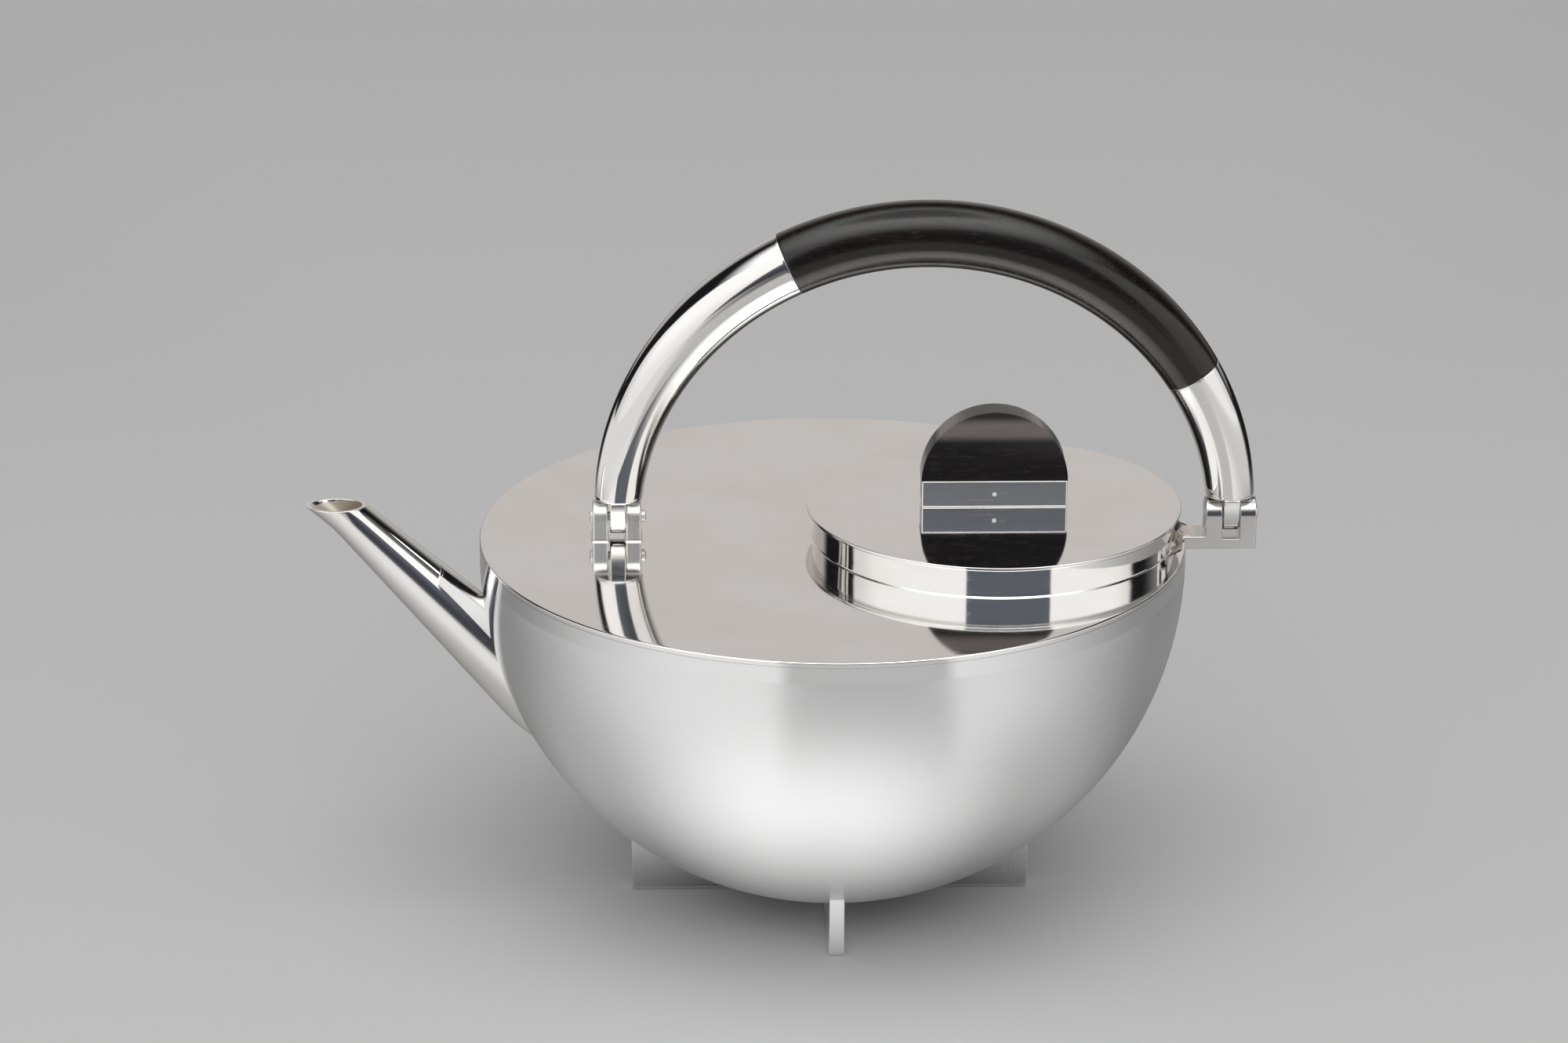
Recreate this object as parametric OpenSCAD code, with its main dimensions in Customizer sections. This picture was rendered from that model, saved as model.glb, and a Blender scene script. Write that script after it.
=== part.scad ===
// Silver teapot: a half-round bowl with a flat top plate, an off-centre lid,
// a straight spout, a crossed-plate foot and a hinged bail handle.
// Millimetres, +Z up. The origin is on the table, on the bowl's axis.
// The spout points to -X and the bail swings about an axis along X.

/* [Bowl] */
// Outer radius of the half-round bowl
bowl_r = 80; // [72:1:96]
// Height of the upright band above the half-round, up to the top of the plate
band_h = 3.8; // [2.5:0.1:8]
// Thickness of the bowl's silver
bowl_wall = 1; // [0.8:0.1:1.6]
// Height of the bowl's lowest point above the table
floor_gap = 2.6; // [2:0.1:8]

/* [Strainer] */
// Diameter of each strainer hole behind the spout
strain_hole_d = 2.4; // [1.5:0.1:3]
// Distance between neighbouring strainer holes
strain_pitch = 4.1; // [3.6:0.1:6]
// Silver left between the outermost holes and the spout's bore
strain_margin = 1; // [0.6:0.1:2]

/* [Top plate] */
// Thickness of the top plate
plate_t = 1.2; // [0.8:0.1:2]
// Bevel round the plate's upper edge
plate_bevel = 0.4; // [0.2:0.1:0.6]

/* [Collar and lid] */
// Outer radius of the collar round the filling mouth
collar_r = 41; // [32:1:50]
// Thickness of the collar
collar_wall = 1.2; // [0.8:0.1:1.6]
// Height of the collar above the plate
collar_h = 6.7; // [5:0.1:10]
// Ledge of plate left between the collar and the bowl's rim
ledge_w = 2.6; // [2:0.1:10]
// How far the lid laps over the collar
lid_lap = 1.5; // [0.5:0.1:3]
// Thickness of the lid's flat disc
lid_t = 0.8; // [0.6:0.1:1.5]
// Gap all round between the lid's bezel and the collar
bezel_clear = 0.25; // [0.15:0.05:0.5]
// Thickness of the bezel ring under the lid
bezel_wall = 1; // [0.8:0.1:1.5]
// Depth of the bezel ring below the lid's disc
bezel_depth = 5.6; // [3:0.1:6.5]

/* [Knob] */
// Radius of the half-disc knob
knob_r = 16.6; // [12:0.2:22]
// Thickness of the knob and width of its holder
knob_t = 6.6; // [5:0.1:10]
// Height that the knob's half-disc lacks of a full radius
knob_sink = 0.25; // [0:0.05:2]
// How far the knob stands past each end of its holder
knob_lap = 0.1; // [0:0.1:1]
// Height of the knob's holder
holder_h = 6.3; // [4.5:0.1:10]
// Thickness of the holder's two side walls
holder_wall = 1.2; // [0.8:0.1:1.5]
// Thickness of the holder's floor
holder_floor = 1.5; // [1:0.1:2]
// Gap between the knob's tongue and the holder
knob_fit = 0.05; // [0.02:0.01:0.2]

/* [Spout] */
// Depth of the spout's axis below the plate where it crosses the bowl's radius
spout_drop = 24; // [20:0.5:32]
// Rise of the spout's axis above level
spout_rise = 44.8; // [38:0.1:52]
// Outer radius of the spout where its axis crosses the bowl's radius
spout_r = 8; // [6.5:0.1:10]
// Outer radius of the spout at the middle of its mouth, square to its axis
spout_tip_r = 4.3; // [3:0.1:6]
// Thickness of the spout's silver
spout_wall = 0.8; // [0.6:0.1:1.2]
// Height of the spout's level mouth above the plate
mouth_rise = 7.8; // [2:0.1:12]
// Distance along the axis, short of the middle of the mouth, at which the pouring lip starts to flare
lip_at = 3.1; // [1:0.1:6]
// Growth of the spout's radius for each millimetre along the flared lip
lip_flare = 0.07; // [0:0.01:0.15]
// Distance inward along the axis at which the spout's underside turns in to the bowl
heel_at = 20; // [15:0.5:22]
// Length of the turned-in heel along the axis
heel_l = 16; // [12:0.5:18]

/* [Foot] */
// Thickness of the two crossed foot plates
foot_t = 3.5; // [2:0.1:5]
// Length of the plate along the spout, on the table
foot_long = 90.8; // [60:1:110]
// Length of the plate across, on the table
foot_cross = 81; // [60:1:110]
// Outward lean of the plates' ends
foot_rake = 2; // [0:0.5:6]

/* [Hinges] */
// Distance from the bowl's axis to the hinge on the plate
left_hinge_in = 48.95; // [44:0.5:60]
// Distance from the bowl's radius to the hinge that overhangs it
right_hinge_out = 10.45; // [9:0.05:16]
// Gap under the round end of a hinge's tongue
tongue_gap = 0.9; // [0.5:0.1:3]
// Thickness of each hinge ear
ear_t = 3.5; // [2:0.1:5]
// Width of each hinge ear, and of the bracket's strip
ear_w = 7.8; // [6:0.1:9]
// Gap between the two ears of a hinge
ear_gap = 4; // [3:0.1:5]
// Side play of the tongue between the ears, on each side
tongue_play = 0.2; // [0.1:0.05:0.4]
// Diameter of the hinge pins
hinge_pin_d = 2; // [1.6:0.1:3]
// Diameter of the pins' domed heads
pin_head_d = 2.9; // [2.6:0.1:4]
// Thickness of the pins' domed heads
pin_head_t = 0.7; // [0.4:0.1:1.2]
// Thickness of the one domed head that faces the lid
inner_head_t = 1.2; // [0.7:0.1:2]
// Running clearance round a hinge pin
run_clear = 0.05; // [0.02:0.01:0.1]
// Thickness of the bracket's strip
strip_t = 2.9; // [2:0.1:4]
// How far the strip's top stands above the plate
strip_rise = 0.3; // [0.2:0.1:1]
// Radius of the hollow fillet from the strip up the collar
saddle_r = 5; // [3:0.1:6]
// Angle that the fillet reaches round the collar, on each side
saddle_angle = 24; // [9:0.5:30]

/* [Bail handle] */
// Height of the bail's centreline above its pivots
bail_rise = 66.7; // [54:0.5:84]
// Radius of the bail at its hinges
bail_foot_r = 5.35; // [4.6:0.05:6.5]
// How much the bail's radius grows up to its top
bail_swell = 2.2; // [0.5:0.1:3.5]
// Thickness of the hollow silver arms
arm_wall = 0.9; // [0.7:0.1:1.4]
// Gap between the ears' round tops and the arms' closed lower ends
cap_gap = 0.5; // [0.3:0.1:2]
// Thickness of the plates that close the arms' lower ends
cap_t = 1; // [0.8:0.1:2]
// Angle of the joint between the grip and the arm at the collar, from level
right_joint = 30; // [20:1:45]
// Angle of the joint between the grip and the arm at the spout, from level
left_joint = 116.4; // [110:0.2:140]
// Length of the grip's tenon inside each arm
tenon_l = 12; // [8:0.5:15]
// Gap between a tenon and its arm
tenon_fit = 0.1; // [0.05:0.05:0.3]
// Diameter of the pins through the grip's tenons and through the knob
rivet_d = 2; // [1.5:0.1:3]
// Distance from each grip joint to its pin
rivet_in = 5; // [3:0.5:7]
// Clearance round those pins
rivet_clear = 0.02; // [0.01:0.01:0.05]
// How far each end of the knob's pin stands out
rivet_proud = 0.1; // [0:0.05:0.3]

/* [Hidden] */

round_fn = 180;
small_fn = 48;
past = 1; // how far a cut runs past the metal it cuts

// heights
ball_z = floor_gap + bowl_r;
plate_z = ball_z + band_h;
lid_z = plate_z + collar_h;
holder_z = lid_z + lid_t;
knob_z = holder_z + holder_h;
pivot_z = plate_z + ear_w / 2 + tongue_gap;

// the filling mouth
mouth_x = bowl_r - ledge_w - collar_r;
mouth_r = collar_r - collar_wall;

// the hinges
left_x = -left_hinge_in;
right_x = bowl_r + right_hinge_out;
fork_l = ear_gap + 2 * ear_t;
strip_bottom = plate_z + strip_rise - strip_t;
slot_floor = plate_z - strip_rise;
tongue_t = ear_gap - 2 * tongue_play;
cap_rise = ear_w / 2 + cap_gap;

// the spout: distances run along its axis from the point on the bowl's radius
spout_x = -bowl_r;
spout_z = plate_z - spout_drop;
spout_taper = (spout_r - spout_tip_r) * sin(spout_rise) / (spout_drop + mouth_rise);
spout_l = (spout_drop + mouth_rise + spout_r * cos(spout_rise)) / sin(spout_rise);
lip_t = (spout_drop + mouth_rise) / sin(spout_rise) - lip_at;
lip_r = spout_r - lip_t * spout_taper;
heel_sink = 1.5; // how deep the heel's end lies inside the bowl's outer face
heel_axis = [
    spout_x + (heel_at + heel_l) * cos(spout_rise),
    spout_z - (heel_at + heel_l) * sin(spout_rise) - ball_z
];
heel_reach = -heel_axis * [sin(spout_rise), cos(spout_rise)];
heel_r = sqrt(heel_reach ^ 2 - heel_axis * heel_axis + (bowl_r - heel_sink) ^ 2) - heel_reach;

// the strainer fills the spout's bore, round the point where the axis meets the bowl
bore_r = spout_r - spout_wall;
root_drop = spout_drop - band_h;
root_slant = bowl_r * cos(spout_rise) - root_drop * sin(spout_rise);
root_in = root_slant - sqrt(root_slant ^ 2 - root_drop ^ 2);
strain_lean = asin((root_drop + root_in * sin(spout_rise)) / bowl_r);
strain_half_w = bore_r - strain_margin - strain_hole_d / 2;
strain_half_h = bore_r / cos(spout_rise + strain_lean) - strain_margin - strain_hole_d / 2;
strain_row = strain_pitch * sin(60);
strain_rows = floor(strain_half_h / strain_row);

// the bail's centreline is half an ellipse through both pivots
bail_x = (left_x + right_x) / 2;
bail_half = (right_x - left_x) / 2;
foot_angle = asin((cap_rise + cap_t) / bail_rise);
bail_sides = 32;
bail_step = 3.7; // angle between neighbouring rings of the bail
tenon_rings = 3;

function bail_speed(a) = PI / 180 * sqrt((bail_half * sin(a)) ^ 2 + (bail_rise * cos(a)) ^ 2);
function bail_radius(a) = bail_foot_r + bail_swell * sin(a);
function bail_centre(a) = [bail_x + bail_half * cos(a), 0, pivot_z + bail_rise * sin(a)];

// the arms' lower ends are cut level, so their last rings have no lean
function ring_angle(a) = a < foot_angle + 0.01 ? 0 : a > 180 - foot_angle - 0.01 ? 180 : a;
function bail_lean(a) = atan2(bail_rise * cos(ring_angle(a)), -bail_half * sin(ring_angle(a)));
function bail_ring(a, r) = [
    for (k = [0 : bail_sides - 1])
        let (w = 360 * k / bail_sides, lean = bail_lean(a))
        bail_centre(a) + r * [-sin(lean) * cos(w), sin(w), cos(lean) * cos(w)]
];
function stations(from, to) =
    let (n = round((to - from) / bail_step))
    [for (i = [0 : n]) from + (to - from) * i / n];
function reversed(list) = [for (i = [len(list) - 1 : -1 : 0]) list[i]];
function quads(i, j) = [
    for (k = [0 : bail_sides - 1])
        let (l = (k + 1) % bail_sides)
        each [
            [i * bail_sides + k, j * bail_sides + l, i * bail_sides + l],
            [i * bail_sides + k, j * bail_sides + k, j * bail_sides + l]
        ]
];
function tenon_stations(from, step) = [for (i = [0 : tenon_rings]) from + step * i / tenon_rings];

rivet_right = right_joint - rivet_in / bail_speed(right_joint);
rivet_left = left_joint + rivet_in / bail_speed(left_joint);

// the solid inside the bowl's outer face, grown or shrunk by the wall
module bowl_outline(r, top) {
    intersection() {
        circle(r = r, $fn = round_fn);
        translate([0, -r]) square([r, r]);
    }
    square([r, top]);
}

module bowl_body() {
    translate([0, 0, ball_z])
        rotate_extrude($fn = round_fn) bowl_outline(bowl_r, band_h);
}

module bowl() {
    color("silver") difference() {
        translate([0, 0, ball_z]) rotate_extrude($fn = round_fn) difference() {
            bowl_outline(bowl_r, band_h - plate_t);
            bowl_outline(bowl_r - bowl_wall, band_h);
        }
        strainer_holes();
    }
}

module strainer_holes() {
    for (row = [-strain_rows : strain_rows], col = [-2 : 2]) {
        across = strain_pitch * (col + (row % 2 == 0 ? 0 : 0.5));
        up = strain_row * row;
        if ((across / strain_half_w) ^ 2 + (up / strain_half_h) ^ 2 <= 1)
            translate([0, 0, ball_z])
                rotate([0, -90 - strain_lean + up / bowl_r * 180 / PI, 0])
                rotate([asin(across / bowl_r), 0, 0])
                translate([0, 0, bowl_r - bowl_wall - past])
                cylinder(h = bowl_wall + 2 * past, d = strain_hole_d, $fn = small_fn);
    }
}

module top_plate() {
    color("silver") difference() {
        translate([0, 0, plate_z - plate_t]) {
            cylinder(r = bowl_r, h = plate_t - plate_bevel, $fn = round_fn);
            translate([0, 0, plate_t - plate_bevel])
                cylinder(r1 = bowl_r, r2 = bowl_r - plate_bevel, h = plate_bevel, $fn = round_fn);
        }
        translate([mouth_x, 0, plate_z - plate_t - past])
            cylinder(r = mouth_r, h = plate_t + 2 * past, $fn = round_fn);
    }
}

module ring(r, wall, h) {
    difference() {
        cylinder(r = r, h = h, $fn = round_fn);
        translate([0, 0, -past]) cylinder(r = r - wall, h = h + 2 * past, $fn = round_fn);
    }
}

module collar() {
    color("silver") translate([mouth_x, 0, plate_z]) ring(collar_r, collar_wall, collar_h);
}

// the spout's cone and its flared lip, less a wall, from inside the bowl to past the mouth
module spout_cone(wall) {
    heel_top_r = spout_r + heel_at * spout_taper;
    translate([spout_x, 0, spout_z]) rotate([0, spout_rise - 90, 0]) {
        translate([0, 0, -heel_at]) cylinder(
            h = heel_at + spout_l,
            r1 = heel_top_r - wall,
            r2 = spout_r - spout_l * spout_taper - wall,
            $fn = round_fn
        );
        translate([0, 0, -heel_at - heel_l]) cylinder(
            h = heel_l,
            r1 = heel_r - wall,
            r2 = heel_top_r - wall,
            $fn = round_fn
        );
        translate([0, 0, lip_t]) cylinder(
            h = spout_l - lip_t,
            r1 = lip_r - wall,
            r2 = lip_r + (spout_l - lip_t) * lip_flare - wall,
            $fn = round_fn
        );
    }
}

module spout() {
    color("silver") difference() {
        spout_cone(0);
        spout_cone(spout_wall);
        bowl_body();
        translate([-2 * bowl_r - spout_l, -bowl_r, plate_z + mouth_rise])
            cube([2 * bowl_r + spout_l, 2 * bowl_r, spout_l]);
    }
}

// one foot plate along X, its top cut to the bowl
module foot_plate(length) {
    end_z = ball_z - sqrt(bowl_r ^ 2 - (length / 2) ^ 2) + past;
    lean = end_z * tan(foot_rake);
    difference() {
        translate([0, foot_t / 2, 0]) rotate([90, 0, 0]) linear_extrude(foot_t) polygon([
            [-length / 2, 0], [length / 2, 0],
            [length / 2 + lean, end_z], [-length / 2 - lean, end_z]
        ]);
        bowl_body();
    }
}

// the notch that half-laps the two plates
module lap_notch(z) {
    translate([-foot_t / 2, -foot_t, z]) cube([foot_t, 2 * foot_t, floor_gap]);
}

module foot_plate_long() {
    color("silver") difference() {
        foot_plate(foot_long);
        lap_notch(-floor_gap / 2);
    }
}

module foot_plate_cross() {
    color("silver") rotate(90) difference() {
        foot_plate(foot_cross);
        lap_notch(floor_gap / 2);
    }
}

// a round-topped block about the pivot, length t along X from x, down to z
module ear_block(x, t, z) {
    translate([x, 0, pivot_z]) rotate([90, 0, 90]) linear_extrude(t) {
        circle(d = ear_w, $fn = round_fn);
        translate([-ear_w / 2, z - pivot_z]) square([ear_w, pivot_z - z]);
    }
}

module pin_bore(x) {
    translate([x - fork_l, 0, pivot_z]) rotate([0, 90, 0])
        cylinder(d = hinge_pin_d + 2 * run_clear, h = 2 * fork_l, $fn = small_fn);
}

module left_ear(x) {
    color("silver") difference() {
        ear_block(x, ear_t, plate_z);
        pin_bore(left_x);
    }
}

module left_hinge_ear_outer() {
    left_ear(left_x - fork_l / 2);
}

module left_hinge_ear_inner() {
    left_ear(left_x + ear_gap / 2);
}

// a pin's head with a shallow cone edge, of thickness t, on the side of +X or -X
module pin_head(side, t) {
    dome = pin_head_t / 2;
    mirror([0, 0, side]) translate([0, 0, fork_l / 2]) {
        cylinder(d = pin_head_d, h = t - dome, $fn = small_fn);
        translate([0, 0, t - dome])
            cylinder(d1 = pin_head_d, d2 = pin_head_d / 2, h = dome, $fn = small_fn);
    }
}

// a pin through both ears, with a head at each end
module hinge_pin(x, right_head_t) {
    color("silver") translate([x, 0, pivot_z]) rotate([0, 90, 0]) {
        cylinder(d = hinge_pin_d, h = fork_l, center = true, $fn = small_fn);
        pin_head(0, right_head_t);
        pin_head(1, pin_head_t);
    }
}

module left_hinge_pin() {
    hinge_pin(left_x, inner_head_t);
}

module right_hinge_pin() {
    hinge_pin(right_x, pin_head_t);
}

// the fillet from the ledge up the collar, as a full ring
module saddle_ring() {
    translate([mouth_x, 0, plate_z]) rotate_extrude($fn = round_fn) difference() {
        translate([collar_r - past, 0]) square([saddle_r + past, saddle_r + strip_rise]);
        translate([collar_r + saddle_r, saddle_r + strip_rise])
            circle(r = saddle_r, $fn = round_fn);
    }
}

// where the fillet is left standing, seen from above
module saddle_plan() {
    reach = collar_r + ledge_w + saddle_r;
    intersection() {
        translate([mouth_x, 0]) difference() {
            polygon([
                [0, 0],
                [reach, -reach * tan(saddle_angle)],
                [reach, reach * tan(saddle_angle)]
            ]);
            for (side = [-1, 1]) rotate(side * saddle_angle)
                translate([collar_r + saddle_r, 0]) circle(r = saddle_r, $fn = round_fn);
        }
        circle(r = bowl_r - plate_bevel, $fn = round_fn);
    }
    translate([mouth_x, -ear_w / 2]) square([reach, ear_w]);
}

module right_bracket() {
    fork_x = right_x - fork_l / 2;
    color("silver") difference() {
        union() {
            ear_block(fork_x, fork_l, strip_bottom);
            translate([mouth_x, -ear_w / 2, strip_bottom])
                cube([fork_x + ear_t - mouth_x, ear_w, strip_t]);
            intersection() {
                saddle_ring();
                translate([0, 0, plate_z]) linear_extrude(2 * saddle_r) saddle_plan();
            }
        }
        translate([right_x - ear_gap / 2, -ear_w, slot_floor])
            cube([ear_gap, 2 * ear_w, 2 * ear_w]);
        pin_bore(right_x);
        translate([0, 0, plate_z - bowl_r]) cylinder(r = bowl_r, h = bowl_r, $fn = round_fn);
        translate([mouth_x, 0, plate_z - past])
            cylinder(r = collar_r, h = 2 * collar_h, $fn = round_fn);
    }
}

module lid_plate() {
    color("silver") translate([mouth_x, 0, lid_z])
        cylinder(r = collar_r + lid_lap, h = lid_t, $fn = round_fn);
}

module lid_bezel() {
    color("silver") translate([mouth_x, 0, lid_z - bezel_depth])
        ring(mouth_r - bezel_clear, bezel_wall, bezel_depth);
}

module rivet_bore(x, z) {
    translate([x, 0, z]) rotate([90, 0, 0]) cylinder(
        d = rivet_d + 2 * rivet_clear, h = 4 * bail_foot_r, center = true, $fn = small_fn
    );
}

module rivet(x, z, length) {
    color("silver") translate([x, 0, z]) rotate([90, 0, 0])
        cylinder(d = rivet_d, h = length, center = true, $fn = small_fn);
}

module knob_holder() {
    holder_l = 2 * (knob_r - knob_lap);
    slot_w = knob_t - 2 * holder_wall;
    color("silver") difference() {
        translate([mouth_x - holder_l / 2, -knob_t / 2, holder_z]) cube([holder_l, knob_t, holder_h]);
        translate([mouth_x - holder_l, -slot_w / 2, holder_z + holder_floor])
            cube([2 * holder_l, slot_w, holder_h]);
        rivet_bore(mouth_x, holder_z + holder_h / 2);
    }
}

module knob() {
    tongue_l = 2 * (knob_r - knob_lap);
    tongue_w = knob_t - 2 * (holder_wall + knob_fit);
    tongue_h = holder_h - holder_floor - knob_fit;
    color("#1d1916") difference() {
        union() {
            intersection() {
                translate([mouth_x, 0, knob_z - knob_sink]) rotate([90, 0, 0])
                    cylinder(r = knob_r, h = knob_t, center = true, $fn = round_fn);
                translate([mouth_x - knob_r, -knob_t, knob_z]) cube([2 * knob_r, 2 * knob_t, knob_r]);
            }
            translate([mouth_x - tongue_l / 2, -tongue_w / 2, knob_z - tongue_h])
                cube([tongue_l, tongue_w, tongue_h]);
        }
        rivet_bore(mouth_x, holder_z + holder_h / 2);
    }
}

module knob_pin() {
    rivet(mouth_x, holder_z + holder_h / 2, knob_t + 2 * rivet_proud);
}

// a hollow arm: its outer rings one way, its inner rings back
module bail_arm(from, to) {
    along = stations(from, to);
    rings = concat(
        [for (a = along) bail_ring(a, bail_radius(a))],
        [for (a = reversed(along)) bail_ring(a, bail_radius(a) - arm_wall)]
    );
    last = len(rings) - 1;
    polyhedron(
        points = [for (one = rings) each one],
        faces = [for (i = [0 : last]) each quads(i, i == last ? 0 : i + 1)]
    );
}

module handle_arm_left() {
    color("silver") difference() {
        bail_arm(left_joint, 180 - foot_angle);
        rivet_bore(bail_centre(rivet_left).x, bail_centre(rivet_left).z);
    }
}

module handle_arm_right() {
    color("silver") difference() {
        bail_arm(foot_angle, right_joint);
        rivet_bore(bail_centre(rivet_right).x, bail_centre(rivet_right).z);
    }
}

// the tongue's outline: as wide as the arm at its cap, tangent to the round end below
module tongue_outline(arm_r) {
    turn = atan2(cap_rise, arm_r) - acos(ear_w / 2 / norm([arm_r, cap_rise]));
    edge = ear_w / 2 * [cos(turn), sin(turn)];
    circle(d = ear_w, $fn = round_fn);
    polygon([[arm_r, cap_rise], [-arm_r, cap_rise], [-edge.x, edge.y], edge]);
}

// the tongue between a hinge's ears, with the plate that closes the arm
module hinge_tongue(x, a) {
    color("silver") difference() {
        union() {
            translate([x - tongue_t / 2, 0, pivot_z]) rotate([90, 0, 90]) linear_extrude(tongue_t)
                tongue_outline(bail_radius(a));
            translate([bail_centre(a).x, 0, pivot_z + cap_rise])
                cylinder(r = bail_radius(a), h = cap_t, $fn = round_fn);
        }
        pin_bore(x);
    }
}

module left_hinge_tongue() {
    hinge_tongue(left_x, 180 - foot_angle);
}

module right_hinge_tongue() {
    hinge_tongue(right_x, foot_angle);
}

// the grip, with a stepped-down tenon at each end
module handle_grip() {
    right_reach = tenon_l / bail_speed(right_joint);
    right_end = tenon_stations(right_joint - right_reach, right_reach);
    left_end = tenon_stations(left_joint, tenon_l / bail_speed(left_joint));
    rings = concat(
        [for (a = right_end) bail_ring(a, bail_radius(a) - arm_wall - tenon_fit)],
        [for (a = stations(right_joint, left_joint)) bail_ring(a, bail_radius(a))],
        [for (a = left_end) bail_ring(a, bail_radius(a) - arm_wall - tenon_fit)]
    );
    last = len(rings) - 1;
    color("#1d1916") difference() {
        polyhedron(
            points = [for (one = rings) each one],
            faces = concat(
                [[for (k = [0 : bail_sides - 1]) k]],
                [for (i = [0 : last - 1]) each quads(i, i + 1)],
                [[for (k = [bail_sides - 1 : -1 : 0]) last * bail_sides + k]]
            )
        );
        rivet_bore(bail_centre(rivet_left).x, bail_centre(rivet_left).z);
        rivet_bore(bail_centre(rivet_right).x, bail_centre(rivet_right).z);
    }
}

module grip_pin_left() {
    rivet(bail_centre(rivet_left).x, bail_centre(rivet_left).z, 2 * bail_radius(rivet_left));
}

module grip_pin_right() {
    rivet(bail_centre(rivet_right).x, bail_centre(rivet_right).z, 2 * bail_radius(rivet_right));
}

bowl();
top_plate();
collar();
spout();
foot_plate_long();
foot_plate_cross();
left_hinge_ear_outer();
left_hinge_ear_inner();
left_hinge_pin();
right_bracket();
right_hinge_pin();
lid_plate();
lid_bezel();
knob_holder();
knob();
knob_pin();
handle_arm_left();
handle_arm_right();
left_hinge_tongue();
right_hinge_tongue();
handle_grip();
grip_pin_left();
grip_pin_right();
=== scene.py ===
import math

import bmesh
import bpy
import numpy as np
from mathutils import Matrix, Vector


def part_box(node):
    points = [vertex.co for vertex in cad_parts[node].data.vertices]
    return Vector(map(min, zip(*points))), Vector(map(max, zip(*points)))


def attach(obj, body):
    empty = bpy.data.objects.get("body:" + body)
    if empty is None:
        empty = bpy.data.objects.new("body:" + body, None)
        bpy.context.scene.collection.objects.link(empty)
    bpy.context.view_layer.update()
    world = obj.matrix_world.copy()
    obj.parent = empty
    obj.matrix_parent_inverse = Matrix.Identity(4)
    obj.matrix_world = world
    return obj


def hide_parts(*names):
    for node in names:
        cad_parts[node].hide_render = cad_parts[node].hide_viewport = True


bl_info = {
    "name": "Silver Teapot",
    "version": (1, 0, 0),
    "blender": (4, 5, 0),
    "location": "View3D > Sidebar > Teapot",
    "description": "Makes the metal and ebony surfaces of a half-round teapot, and the studio it stands in",
    "category": "Add Mesh",
}

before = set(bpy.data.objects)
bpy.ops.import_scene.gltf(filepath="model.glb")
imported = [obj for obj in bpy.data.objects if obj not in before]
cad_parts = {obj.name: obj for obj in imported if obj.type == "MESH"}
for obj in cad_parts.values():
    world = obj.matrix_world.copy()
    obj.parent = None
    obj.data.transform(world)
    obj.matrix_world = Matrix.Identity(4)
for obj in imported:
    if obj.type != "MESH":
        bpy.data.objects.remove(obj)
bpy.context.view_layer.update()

MM = 0.001
IMAGE_WIDTH, FOCAL_PIXELS = 2000, 8433.27  # for an image 1330 pixels high
QUARTER = math.pi / 2
BAIL_SIDES = 112

# places taken from the frame, in metres
bowl_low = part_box("bowl")[0]
plate_low, plate_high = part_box("top_plate")
collar_low, collar_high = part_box("collar")
lid_low, lid_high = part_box("lid_plate")
holder_low, holder_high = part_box("knob_holder")
spout_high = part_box("spout")[1]
ear_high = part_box("left_hinge_ear_outer")[1]
bracket_low, bracket_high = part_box("right_bracket")
left_tongue_low, left_tongue_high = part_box("left_hinge_tongue")
right_tongue_low, right_tongue_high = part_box("right_hinge_tongue")

BOWL_R = plate_high.x
PLATE_Z = plate_high.z
BALL_Z = bowl_low.z + BOWL_R
MOUTH_X = (lid_low.x + lid_high.x) / 2
COLLAR_R = (collar_high.x - collar_low.x) / 2
EAR_HALF = ear_high.y
PIVOT_Z = ear_high.z - EAR_HALF
LEFT_X = (left_tongue_low.x + left_tongue_high.x) / 2
RIGHT_X = (right_tongue_low.x + right_tongue_high.x) / 2
BAIL_X = (LEFT_X + RIGHT_X) / 2


# ---- settings


def number(name, description, value, **kind):
    """A property that can't fall below 0."""
    return bpy.props.FloatProperty(name=name, description=description, default=value, min=0.0, **kind)


def length(name, description, millimetres):
    """A length property with its default in millimetres."""
    return number(name, description, millimetres * MM, unit="LENGTH", precision=5)


def angle(name, description, degrees):
    """An angle property with its default in degrees."""
    return number(name, description, math.radians(degrees), subtype="ANGLE")


def amount(name, description, value, most=1.0):
    """A property from 0 to most."""
    return number(name, description, value, max=most, subtype="FACTOR")


def colour(name, description, *value):
    """A colour property."""
    return bpy.props.FloatVectorProperty(
        name=name, description=description, default=value, size=3, min=0.0, max=1.0, subtype="COLOR"
    )


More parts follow.
